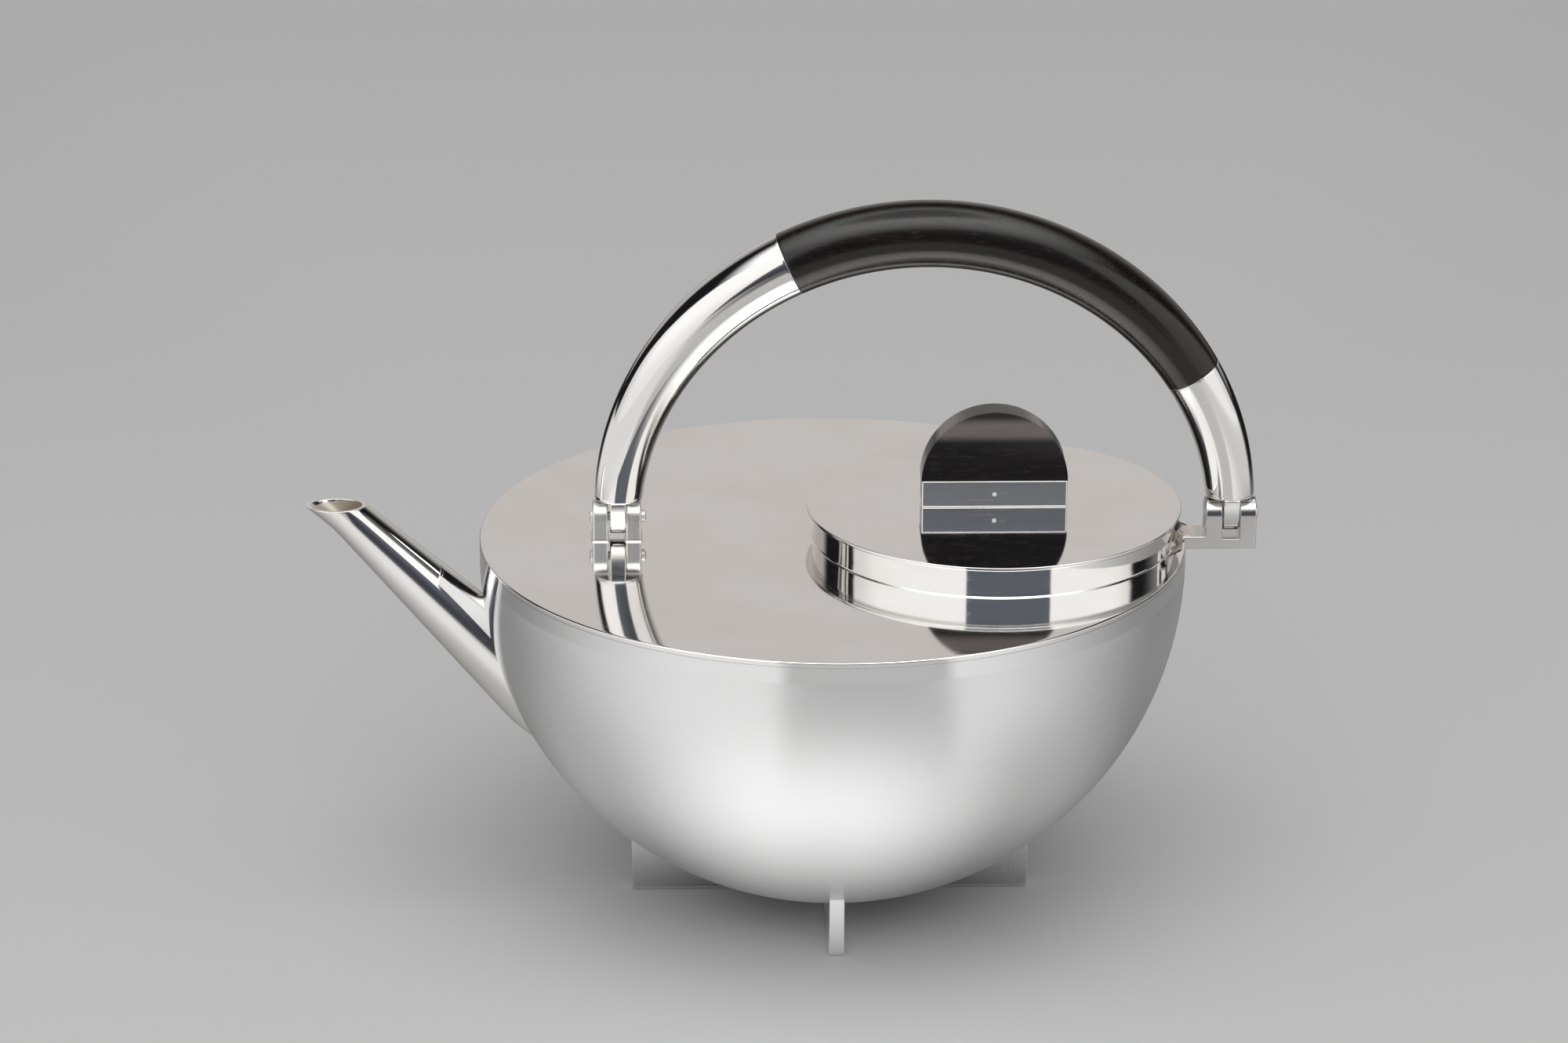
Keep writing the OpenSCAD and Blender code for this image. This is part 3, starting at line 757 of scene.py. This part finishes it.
def bracket_flare(sizes):
    """The hollow fillet that spreads from the bracket's strip over the ledge and up the collar."""
    reach, foot, lines = sizes.flare_reach, -0.1 * MM, []
    for turn in np.linspace(-reach, reach, 161):
        c, s = math.cos(turn), math.sin(turn)
        radius = max(sizes.flare * (1 - (turn / reach) ** 2) ** 1.5, 0.05 * MM)
        to_rim = -MOUTH_X * c + math.sqrt((BOWL_R - 0.7 * MM) ** 2 - (MOUTH_X * s) ** 2) - COLLAR_R
        to_side = (EAR_HALF - 0.35 * MM) / max(abs(s), 1e-6) - COLLAR_R
        end = min(radius, max(to_rim, to_side))
        top = 0.3 * MM * min(1.0, radius / (1 * MM)) + radius
        line = [(-0.3 * MM, foot), (-0.3 * MM, top)]
        for x in end * (1 - np.cos(np.linspace(0, QUARTER, 21))):
            line.append((x, top - math.sqrt(max(radius**2 - (radius - x) ** 2, 0.0))))
        line.append((end + 0.02 * MM, foot))
        lines.append([(MOUTH_X + (COLLAR_R + x) * c, (COLLAR_R + x) * s, PLATE_Z + up) for x, up in line])
    return shell(np.array(lines))


def ear_outline(foot_z):
    """A hinge ear seen along X: upright sides and a round top."""
    return [(EAR_HALF, foot_z), *arc(EAR_HALF, 0, math.pi, 49, up=PIVOT_Z), (-EAR_HALF, foot_z)]


def tongue_outline(arm_r, cap_z):
    """A hinge tongue seen along X: as wide as the arm under its cap, bending in to its round lower end."""
    bend = (cap_z - PIVOT_Z) * 0.25
    turn = math.atan2(bend, arm_r) - math.acos(EAR_HALF / math.hypot(arm_r, bend))
    lower = arc(EAR_HALF, turn, -math.pi - turn, 65, up=PIVOT_Z)
    s = np.linspace(0, 1, 13)[:-1, None]
    top, corner = np.array([arm_r, cap_z]), np.array([arm_r, PIVOT_Z + bend])
    front = top * (1 - s) ** 2 + corner * 2 * s * (1 - s) + lower[0] * s**2
    return np.concatenate([front, lower, front[::-1] * [-1, 1]])


def make_hinge_pin(node, shank_r, right_head):
    """A hinge pin along X with a domed head at each end."""
    low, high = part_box(node)
    head_r, start, end = high.y, low.x + 0.7 * MM, high.x - right_head
    crown_r, crown, dome, soft = head_r * 0.62, 0.03 * MM, 0.35 * MM, 0.15 * MM
    profile = [
        (0, low.x, 0), (crown_r, low.x + crown, 2 * soft), (head_r, low.x + dome, soft),
        (head_r, start, 0.08 * MM), (shank_r, start, 0), (shank_r, end, 0), (head_r, end, 0.08 * MM),
        (head_r, high.x - dome, soft), (crown_r, high.x - crown, 2 * soft), (0, high.x, 0),
    ]
    shape = turned(rounded(profile, 4), (0.0, PIVOT_Z), axis=0, segments=64, ends="open")
    make_piece(node, "pot", shape, rivet_silver())


def make_rivet(node, body, x, z, radius, dome):
    """A rivet along Y with softly domed ends, each a dot inside a shallow ring."""
    low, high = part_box(node)
    profile = []
    for low_y, way in ((low.y, 1), (high.y, -1)):
        end = []
        for t in np.linspace(0, QUARTER, 25):
            ring = 0.09 * MM * max(0.0, 1 - abs(math.sin(t) - 0.58) / 0.16)
            end.append((radius * math.sin(t), low_y + way * (dome * (1 - math.cos(t)) + ring)))
        profile += end[::way]
    make_piece(node, body, turned(profile, (x, z), axis=1, segments=48, ends="open"), rivet_silver())


# ---- operators


class TEAPOT_OT_stage(bpy.types.Operator):
    """Make the floor, the room that the silver mirrors, the soft lamps and the camera"""

    bl_idname = "teapot.make_stage"
    bl_label = "Stage"

    def execute(self, context):
        scene, studio = context.scene, context.scene.teapot.studio
        scene.view_settings.view_transform = "Standard"
        self.make_world(scene, studio)
        self.make_disc("floor", 14.0, 0.0, paper("floor", studio.floor), seen=True)
        self.make_disc("table_sheen", 13.9, 0.6 * MM, self.make_sheen(), seen=False)
        self.make_lamp("lamp_over", (0.0, -0.35, 1.5), (0.0, -0.05, 0.0), (1.4, 1.0), 1.3 * studio.lamp)
        self.make_lamp("lamp_front", (0.0, -1.5, 1.3), (0.0, -0.15, 0.0), (2.0, 0.9), 0.9 * studio.lamp)
        self.make_camera(scene)
        return {"FINISHED"}

    def make_world(self, scene, studio):
        """Even light for everything, and for the silver a room: soft boxes at both sides and overhead,
        a dark front, a pale back wall and black cloth at the wall's sides."""
        world = bpy.data.worlds.new("studio")
        world.use_nodes = True
        scene.world = world
        nodes = Nodes(world.node_tree)
        x, y, z = nodes.axes(nodes.add("ShaderNodeTexCoord", output="Generated"))
        around, above = nodes.around(x, y), z.math("ARCSINE", z) * (180 / math.pi)
        side = abs(around)
        wall = (1 - above.step(20.0, 44.0) * 0.92) * (side.step(150.0, 172.0) * 0.2 + 0.8)
        cloth = nodes.blend(x.step(-0.02, 0.02), side.step(134.0, 145.0), side.step(106.0, 146.0))
        room = nodes.blend(cloth * wall, studio.black, studio.back_wall)
        front = around.within(-20.0, 33.5, 0.5) * (1 - above.step(58.0, 60.0))
        dark = nodes.blend(above.step(8.0, 24.0), studio.dark, shaded(studio.dark, 2.4))
        room = nodes.blend(front, room, dark)
        shine = (above.step(4.0, 26.0) * 0.22 + 0.90) * studio.white * (1 - side.step(78.0, 100.0) * 0.22)
        glow = nodes.vector(shine, shine * 0.995, shine * 0.99)
        for turn, low, high, top in ((-30.0, -108.0, -20.0, 1.30), (30.0, 33.5, 107.0, 0.90)):
            c, s = math.cos(math.radians(turn)), math.sin(math.radians(turn))
            rise = z / (x * s - y * c)
            box = around.within(low, high, 0.6) * (1 - rise.step(top - 0.07, top + 0.07))
            room = nodes.blend(box, room, glow)
        over = (z * 0.97 - y * 0.24).step(0.60, 1.06) * (1 - z.step(0.93, 0.985) * 0.70) * studio.overhead
        room = nodes.add(
            "ShaderNodeVectorMath", {"operation": "MAXIMUM"}, {0: room, 1: nodes.vector(over, over, over)}
        )
        mirrored = nodes.add("ShaderNodeLightPath", output="Is Glossy Ray")
        room = nodes.blend(mirrored, studio.ambient, room)
        light = nodes.add("ShaderNodeBackground", None, {"Color": room})
        nodes.add("ShaderNodeOutputWorld", None, {"Surface": light})

    def make_sheen(self):
        """What the silver sees of the table and of the room beyond its edges: a glowing painted reflection,
        with the table's light and the pot's shadow painted in.
        """
        material, nodes = new_material("table_sheen")
        x, y, z = nodes.axes(nodes.place())
        radius, around = (x * x + y * y) ** 0.5, nodes.around(x, y)
        near_side, far_side = abs(around + 8.0), abs(around + 5.0)
        near = 1.18 - near_side.step(8.0, 70.0) * 0.72 - near_side.step(66.0, 135.0) * 0.25
        # Painted shadow: darker towards the middle, where the pot shades the table, seen only in the silver.
        near = near * (radius.step(0.016, 0.090) * 0.92 + 0.08)
        far = 0.88 - far_side.step(35.0, 112.0) * 0.60 - around.within(-15.5, 31.0, 3.0) * 0.33
        bright = near + radius.step(0.085, 0.190) * (far - near)
        left, right = around.within(-126.0, -14.0, 8.0), around.within(26.0, 107.0, 8.0)
        horizon = left * 0.80 + right * (radius.step(0.5, 3.0) * 0.27 + 0.64)
        horizon = horizon + around.within(-14.0, 26.0, 8.0) * (0.56 - radius.step(0.45, 1.1) * 0.46)
        horizon = horizon + abs(around).step(152.0, 166.0) * 0.33 + 0.012
        bright = bright + radius.step(0.27, 0.50) * (horizon - bright)
        table = nodes.vector(bright, bright * 0.995, bright * 0.985)
        sheen = nodes.add("ShaderNodeEmission", None, {"Color": table, "Strength": 1.0})
        nodes.add("ShaderNodeOutputMaterial", None, {"Surface": sheen})
        return material

    def make_disc(self, name, radius, z, material, seen):
        """A level disc. One that isn't seen shows only in what mirrors it."""
        form = bmesh.new()
        bmesh.ops.create_circle(form, cap_ends=True, segments=96, radius=radius)
        bmesh.ops.translate(form, verts=form.verts, vec=(0, 0, z))
        mesh = bpy.data.meshes.new(name)
        form.to_mesh(mesh)
        form.free()
        mesh.materials.append(material)
        disc = bpy.data.objects.new(name, mesh)
        bpy.context.scene.collection.objects.link(disc)
        disc.visible_camera = disc.visible_diffuse = disc.visible_shadow = seen
        disc.visible_transmission = False

    def make_lamp(self, name, place, aim, size, brightness):
        """A soft rectangular lamp that lights what isn't silver."""
        light = bpy.data.lights.new(name, "AREA")
        light.shape, light.size, light.size_y = "RECTANGLE", size[0], size[1]
        light.energy = 4 * size[0] * size[1] * brightness
        lamp = bpy.data.objects.new(name, light)
        lamp.location = place
        lamp.rotation_euler = (Vector(aim) - Vector(place)).to_track_quat("-Z", "Y").to_euler()
        lamp.visible_camera = lamp.visible_glossy = False
        bpy.context.scene.collection.objects.link(lamp)

    def make_camera(self, scene):
        """A long lens, from the front and a little above."""
        data = bpy.data.cameras.new("camera")
        data.sensor_fit, data.sensor_width = "HORIZONTAL", 36.0
        data.lens = 36.0 * FOCAL_PIXELS / IMAGE_WIDTH
        data.clip_start, data.clip_end = 0.05, 60.0
        camera = bpy.data.objects.new("camera", data)
        camera.matrix_world = Matrix.Translation((-0.06125, -1.40510, 0.60789))
        for degrees, axis in ((-2.046, "Z"), (90 - 20.236, "X"), (0.372, "Z")):
            camera.matrix_world = camera.matrix_world @ Matrix.Rotation(math.radians(degrees), 4, axis)
        scene.collection.objects.link(camera)
        scene.camera = camera


class TEAPOT_OT_bowl(bpy.types.Operator):
    """Make the half-round bowl, with the strainer holes behind the spout"""

    bl_idname = "teapot.make_bowl"
    bl_label = "Bowl"

    def execute(self, context):
        sizes = context.scene.teapot.sizes
        inner_r, centre = BOWL_R - sizes.bowl_wall, Vector((0, 0, BALL_Z))
        outer = [(BOWL_R, plate_low.z - 0.02 * MM), *arc(BOWL_R, 0, -QUARTER, 97, up=BALL_Z)]
        inner = [(inner_r, plate_low.z), *arc(inner_r, 0, -QUARTER, 61, up=BALL_Z)]
        halo = (4 * MM - BOWL_R, PLATE_Z - sizes.spout_drop + 6 * MM, 20 * MM, 46 * MM)
        metal = satin_silver("silver_satin_bowl", plate_low.z - 3.8 * MM, halo)

        def pick(middle, normal):
            low = Vector((middle.x, middle.y, min(middle.z, BALL_Z)))
            return 0 if (low - centre).length > BOWL_R - 0.3 * MM else 1

        make_piece(
            "bowl", "pot", turned(outer + inner[::-1]), metal, satin_silver("silver_inside", 2.0),
            slot="silver_satin", pick=pick, carve=[("DIFFERENCE", strainer_holes(sizes))],
        )
        return {"FINISHED"}


class TEAPOT_OT_top_plate(bpy.types.Operator):
    """Make the flat top plate with its filling mouth"""

    bl_idname = "teapot.make_top_plate"
    bl_label = "Top plate"

    def execute(self, context):
        sizes = context.scene.teapot.sizes
        mouth_r, inset = COLLAR_R - sizes.collar_wall, BOWL_R - 1 * MM
        rim = rounded([
            (inset, PLATE_Z, 0), (BOWL_R, PLATE_Z, sizes.plate_edge),
            (BOWL_R, plate_low.z, 0.12 * MM), (inset, plate_low.z, 0),
        ], 8)
        turn = np.linspace(0, 2 * math.pi, 360, endpoint=False)
        ring = np.stack([np.cos(turn), np.sin(turn), np.zeros(360)], axis=1)
        circles = [(MOUTH_X, mouth_r, PLATE_Z), *((0, r, z) for r, z in rim), (MOUTH_X, mouth_r, plate_low.z)]
        rings = [ring * r + (x, 0, z) for x, r, z in circles]
        make_piece("top_plate", "pot", shell(rings, "joined"), flat_silver("silver_plate"))
        return {"FINISHED"}


class TEAPOT_OT_collar_and_lid(bpy.types.Operator):
    """Make the collar round the filling mouth, the lid's disc and the bezel under it"""

    bl_idname = "teapot.make_collar_and_lid"
    bl_label = "Collar and lid"

    def execute(self, context):
        sizes = context.scene.teapot.sizes
        centre, solder, bore, edge = (MOUTH_X, 0.0), sizes.solder, COLLAR_R - sizes.collar_wall, 0.12 * MM
        metal = polished_silver("silver_collar", turned_lines(4200.0, 3.0, (MOUTH_X, 0.0, 0.0)))
        fillet = arc(solder, -QUARTER, -math.pi, 7, COLLAR_R + solder, PLATE_Z + solder)
        top = rounded([
            (COLLAR_R, PLATE_Z + 2 * MM, 0), (COLLAR_R, collar_high.z, edge),
            (bore, collar_high.z, edge), (bore, PLATE_Z, 0),
        ], 4)
        profile = [(COLLAR_R + solder, PLATE_Z - 0.05 * MM), *fillet, *top]
        make_piece("collar", "pot", turned(profile, centre), metal)
        lid_r, edge = (lid_high.x - lid_low.x) / 2, sizes.lid_edge
        disc = rounded(
            [(0, lid_low.z, 0), (lid_r, lid_low.z, edge), (lid_r, lid_high.z, edge), (0, lid_high.z, 0)]
        )
        make_piece("lid_plate", "lid", turned(disc, centre, ends="open"), flat_silver("silver_lid"))
        low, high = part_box("lid_bezel")
        outer, edge = (high.x - low.x) / 2, 0.25 * MM
        bore = outer - sizes.bezel_wall
        ring = rounded([(outer, low.z, edge), (outer, high.z, 0), (bore, high.z, 0), (bore, low.z, edge)], 5)
        make_piece("lid_bezel", "lid", turned(ring, centre), metal)
        return {"FINISHED"}


class TEAPOT_OT_knob(bpy.types.Operator):
    """Make the knob's silver holder, its ebony half-disc and the pin through both"""

    bl_idname = "teapot.make_knob"
    bl_label = "Knob"

    def execute(self, context):
        sizes = context.scene.teapot.sizes
        foot, top, half, gap = holder_low.z, holder_high.z, holder_high.y, 0.05 * MM
        slot, slot_z = half - sizes.holder_wall, foot + 1.5 * MM
        metal = polished_silver("silver_holder", straight_lines(3600.0, 60.0), roughness=0.19, marks=1.6)
        channel = [(-half, foot), (half, foot), (half, top), (slot, top)]
        channel += [(slot, slot_z), (-slot, slot_z), (-slot, top), (-half, top)]
        channel = pulled(channel, 0, holder_low.x, holder_high.x)
        make_piece("knob_holder", "lid", channel, metal, edge=sizes.holder_edge)
        low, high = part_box("knob")
        radius = high.x - MOUTH_X
        centre_z = high.z - radius
        start = math.asin((top - centre_z) / radius)
        disc = pulled(arc(radius, start, math.pi - start, 161, MOUTH_X, centre_z), 1, low.y, high.y)
        tongue = block(
            (holder_low.x + 0.02 * MM, gap - slot, slot_z + gap),
            (holder_high.x - 0.02 * MM, slot - gap, top + 0.4 * MM),
        )
        # Painted sheen on the knob's face, from 6.2 mm to 2 mm below its top.
        wood = ebony("ebony_knob", sheen_heights=(high.z - 6.2 * MM, high.z - 2.0 * MM))
        make_piece("knob", "lid", joined(disc, tongue), wood, slot="ebony", edge=sizes.knob_edge, segments=3)
        pin_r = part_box("knob_pin")[1].x - MOUTH_X
        make_rivet("knob_pin", "lid", MOUTH_X, (foot + top) / 2, pin_r, 0.35 * MM)
        return {"FINISHED"}


class TEAPOT_OT_spout(bpy.types.Operator):
    """Make the straight spout with its level mouth and its bore"""

    bl_idname = "teapot.make_spout"
    bl_label = "Spout"

    def execute(self, context):
        sizes = context.scene.teapot.sizes
        start, along, _ = (Vector(v) for v in spout_line(sizes))
        metal = polished_silver("silver_spout", straight_lines(900.0, 70.0), marks=0.7)
        stained = polished_silver(
            "silver_stained", straight_lines(900.0, 200.0), roughness=0.3,
            base=context.scene.teapot.finish.stained, metallic=0.55,
        )

        def pick(middle, normal):
            offset = middle - start
            outward = offset - along * offset.dot(along)
            return 1 if normal.dot(outward) < 0 and middle.z < spout_high.z - 0.5 * MM else 0

        make_piece("spout", "pot", spout_shape(sizes), metal, stained, pick=pick)
        return {"FINISHED"}


class TEAPOT_OT_feet(bpy.types.Operator):
    """Make the two crossed foot plates"""

    bl_idname = "teapot.make_feet"
    bl_label = "Foot plates"

    def execute(self, context):
        sizes = context.scene.teapot.sizes
        metal = satin_silver("silver_satin_feet", 2.0)
        lean, lap, seat = math.tan(math.radians(2.0)), 1.3 * MM, BOWL_R - 0.4 * MM
        half_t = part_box("foot_plate_long")[1].y
        for node, half, axis in (
            ("foot_plate_long", sizes.long_foot, 1),
            ("foot_plate_cross", sizes.cross_foot, 0),
        ):
            end_z = BALL_Z - math.sqrt(seat**2 - half**2)
            reach = math.asin((half + lean * end_z) / seat)
            top = arc(seat, reach - QUARTER, -reach - QUARTER, 121, up=BALL_Z)
            if axis == 1:
                foot = [(-half, 0), (-half_t, 0), (-half_t, lap), (half_t, lap), (half_t, 0), (half, 0)]
            else:
                foot, notch_z = [(-half, 0), (half, 0)], BALL_Z - math.sqrt(seat**2 - half_t**2)
                notch = [(half_t, notch_z), (half_t, lap), (-half_t, lap), (-half_t, notch_z)]
                top = [*top[top[:, 0] > half_t], *notch, *top[top[:, 0] < -half_t]]
            plate = pulled([*foot, *top], axis, -half_t, half_t)
            make_piece(node, "pot", plate, metal, slot="silver_satin", edge=sizes.foot_edge, segments=3)
        return {"FINISHED"}


class TEAPOT_OT_left_hinge(bpy.types.Operator):
    """Make the two ears on the plate and the pin through them"""

    bl_idname = "teapot.make_left_hinge"
    bl_label = "Left hinge"

    def execute(self, context):
        sizes = context.scene.teapot.sizes
        metal = polished_silver(
            "silver_ear", straight_lines(2600.0, 260.0, axis=2), roughness=0.34, marks=1.6, smear=0.85
        )
        for node in ("left_hinge_ear_outer", "left_hinge_ear_inner"):
            low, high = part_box(node)
            ear = pulled(ear_outline(PLATE_Z - 0.7 * MM), 0, low.x, high.x)
            make_piece(node, "pot", ear, metal, edge=sizes.ear_edge)
            make_part(f"{node}_solder", "pot", skirt(low, high, PLATE_Z, sizes.solder), solder_silver())
        make_hinge_pin("left_hinge_pin", sizes.pin_r, 1.2 * MM)
        return {"FINISHED"}


class TEAPOT_OT_right_bracket(bpy.types.Operator):
    """Make the bracket that carries the overhanging hinge, and its pin"""

    bl_idname = "teapot.make_right_bracket"
    bl_label = "Right bracket"

    def execute(self, context):
        sizes = context.scene.teapot.sizes
        metal = polished_silver(
            "silver_bracket", straight_lines(3200.0, 120.0), roughness=0.17, marks=1.3,
            # Painted shade: the bracket's silver is darkened to 0.76 of the other silver, standing in for the
            # darker reflections on its faces.
            base=shaded(context.scene.teapot.finish.silver, 0.76),
        )
        half, slot = bracket_high.x - RIGHT_X, sizes.slot_w / 2
        low_z, high_z = PLATE_Z - 0.3 * MM, PLATE_Z + 0.3 * MM
        fork = pulled(ear_outline(bracket_low.z), 0, RIGHT_X - half, RIGHT_X + half)
        strip = block(
            (BOWL_R - 0.4 * MM, -EAR_HALF, bracket_low.z), (RIGHT_X - half + 1 * MM, EAR_HALF, high_z)
        )
        ledge = block((COLLAR_R + MOUTH_X - 0.5 * MM, -EAR_HALF, low_z), (BOWL_R + 1 * MM, EAR_HALF, high_z))
        gap = block(
            (RIGHT_X - slot, -2 * EAR_HALF, low_z), (RIGHT_X + slot, 2 * EAR_HALF, PIVOT_Z + 2 * EAR_HALF)
        )
        make_piece(
            "right_bracket", "pot", fork, metal, edge=sizes.fork_edge,
            carve=[("UNION", strip), ("UNION", ledge), ("DIFFERENCE", gap)],
        )
        make_part("right_bracket_fillet", "pot", bracket_flare(sizes), solder_silver())
        make_hinge_pin("right_hinge_pin", sizes.pin_r, 0.7 * MM)
        return {"FINISHED"}


class TEAPOT_OT_bail_arms(bpy.types.Operator):
    """Make the bail's two silver arms and the tongues that close them"""

    bl_idname = "teapot.make_bail_arms"
    bl_label = "Bail arms"

    def execute(self, context):
        sizes = context.scene.teapot.sizes
        bail, wall, half = Bail(sizes), sizes.arm_wall, sizes.tongue_w / 2
        round_lines = turned_lines(3000.0, 5.0, (BAIL_X, 0.0, PIVOT_Z), axis=1)
        metal = polished_silver("silver_arm", round_lines, roughness=0.07, marks=1.2)
        hinge = polished_silver("silver_hinge", straight_lines(3200.0, 120.0), roughness=0.17, marks=1.8)
        left_foot, right_foot = math.pi - bail.foot, bail.foot
        for node, joint, foot, side in (
            ("handle_arm_left", sizes.left_joint, left_foot, 1),
            ("handle_arm_right", sizes.right_joint, right_foot, -1),
        ):
            near = joint + side * 0.01
            outer = bail.eased(joint, side, 0.13 * MM) + bail.plain(near, foot, 72)
            inner = bail.plain(foot, near, 72, wall) + bail.plain(joint, joint, 1, wall)
            make_piece(node, "handle", bail.shape(outer + inner, "joined"), metal)
        for node, x, top, foot in (
            ("left_hinge_tongue", LEFT_X, left_tongue_high.z, left_foot),
            ("right_hinge_tongue", RIGHT_X, right_tongue_high.z, right_foot),
        ):
            arm_r, cap_z = bail.radius(foot), top - 1 * MM
            outline = tongue_outline(arm_r - 0.12 * MM, cap_z + 0.3 * MM)
            make_piece(node, "handle", pulled(outline, 0, x - half, x + half), hinge, edge=sizes.tongue_edge)
            cap = rounded([(0, cap_z, 0), (arm_r, cap_z, 0.6 * MM), (arm_r, top, 0), (0, top, 0)], 8)
            cap = turned(cap, (bail.centre(foot)[0], 0.0), segments=BAIL_SIDES, ends="open")
            make_part(f"{node}_cap", "handle", cap, metal)
        return {"FINISHED"}


class TEAPOT_OT_grip(bpy.types.Operator):
    """Make the ebony grip and the two pins that hold it"""

    bl_idname = "teapot.make_grip"
    bl_label = "Grip"

    def execute(self, context):
        sizes = context.scene.teapot.sizes
        bail, edge, inset = Bail(sizes), 0.14 * MM, sizes.arm_wall + 0.1 * MM
        right, left = sizes.right_joint, sizes.left_joint
        right_end, left_end = bail.past(right, -12 * MM), bail.past(left, 12 * MM)
        stations = [(right_end, 0.0), *bail.plain(right_end, right, 10, inset), *bail.eased(right, 1, edge)]
        stations += bail.plain(right + 0.01, left - 0.01, 110) + bail.eased(left, -1, edge)[::-1]
        stations += [*bail.plain(left, left_end, 10, inset), (left_end, 0.0)]
        make_piece("handle_grip", "handle", bail.shape(stations, "open"), ebony("ebony_grip"), slot="ebony")
        for node, joint, way in (("grip_pin_right", right, -1), ("grip_pin_left", left, 1)):
            x, _, z = bail.centre(bail.past(joint, way * 5 * MM))
            make_rivet(node, "handle", x, z, sizes.pin_r, 0.12 * MM)
        return {"FINISHED"}


class TEAPOT_PT_panel(bpy.types.Panel):
    """Lists what can be made, and the sizes, finishes and light"""

    bl_idname = "TEAPOT_PT_panel"
    bl_label = "Silver teapot"
    bl_space_type = "VIEW_3D"
    bl_region_type = "UI"
    bl_category = "Teapot"

    def draw(self, context):
        for operator in OPERATORS:
            self.layout.operator(operator.bl_idname)
        settings = context.scene.teapot
        for group in (settings.sizes, settings.finish, settings.studio):
            box = self.layout.box()
            for name in group.__annotations__:
                box.prop(group, name)


OPERATORS = (
    TEAPOT_OT_stage, TEAPOT_OT_bowl, TEAPOT_OT_top_plate, TEAPOT_OT_collar_and_lid, TEAPOT_OT_knob,
    TEAPOT_OT_spout, TEAPOT_OT_feet, TEAPOT_OT_left_hinge, TEAPOT_OT_right_bracket,
    TEAPOT_OT_bail_arms, TEAPOT_OT_grip,
)
CLASSES = (TeapotSizes, TeapotFinish, TeapotStudio, TeapotSettings, *OPERATORS, TEAPOT_PT_panel)


def register():
    for cls in CLASSES:
        bpy.utils.register_class(cls)
    bpy.types.Scene.teapot = bpy.props.PointerProperty(type=TeapotSettings)


def unregister():
    del bpy.types.Scene.teapot
    for cls in reversed(CLASSES):
        bpy.utils.unregister_class(cls)


def main():
    """Makes the stage and every piece."""
    register()
    for operator in OPERATORS:
        group, name = operator.bl_idname.split(".")
        getattr(getattr(bpy.ops, group), name)()


if __name__ == "__main__":
    main()
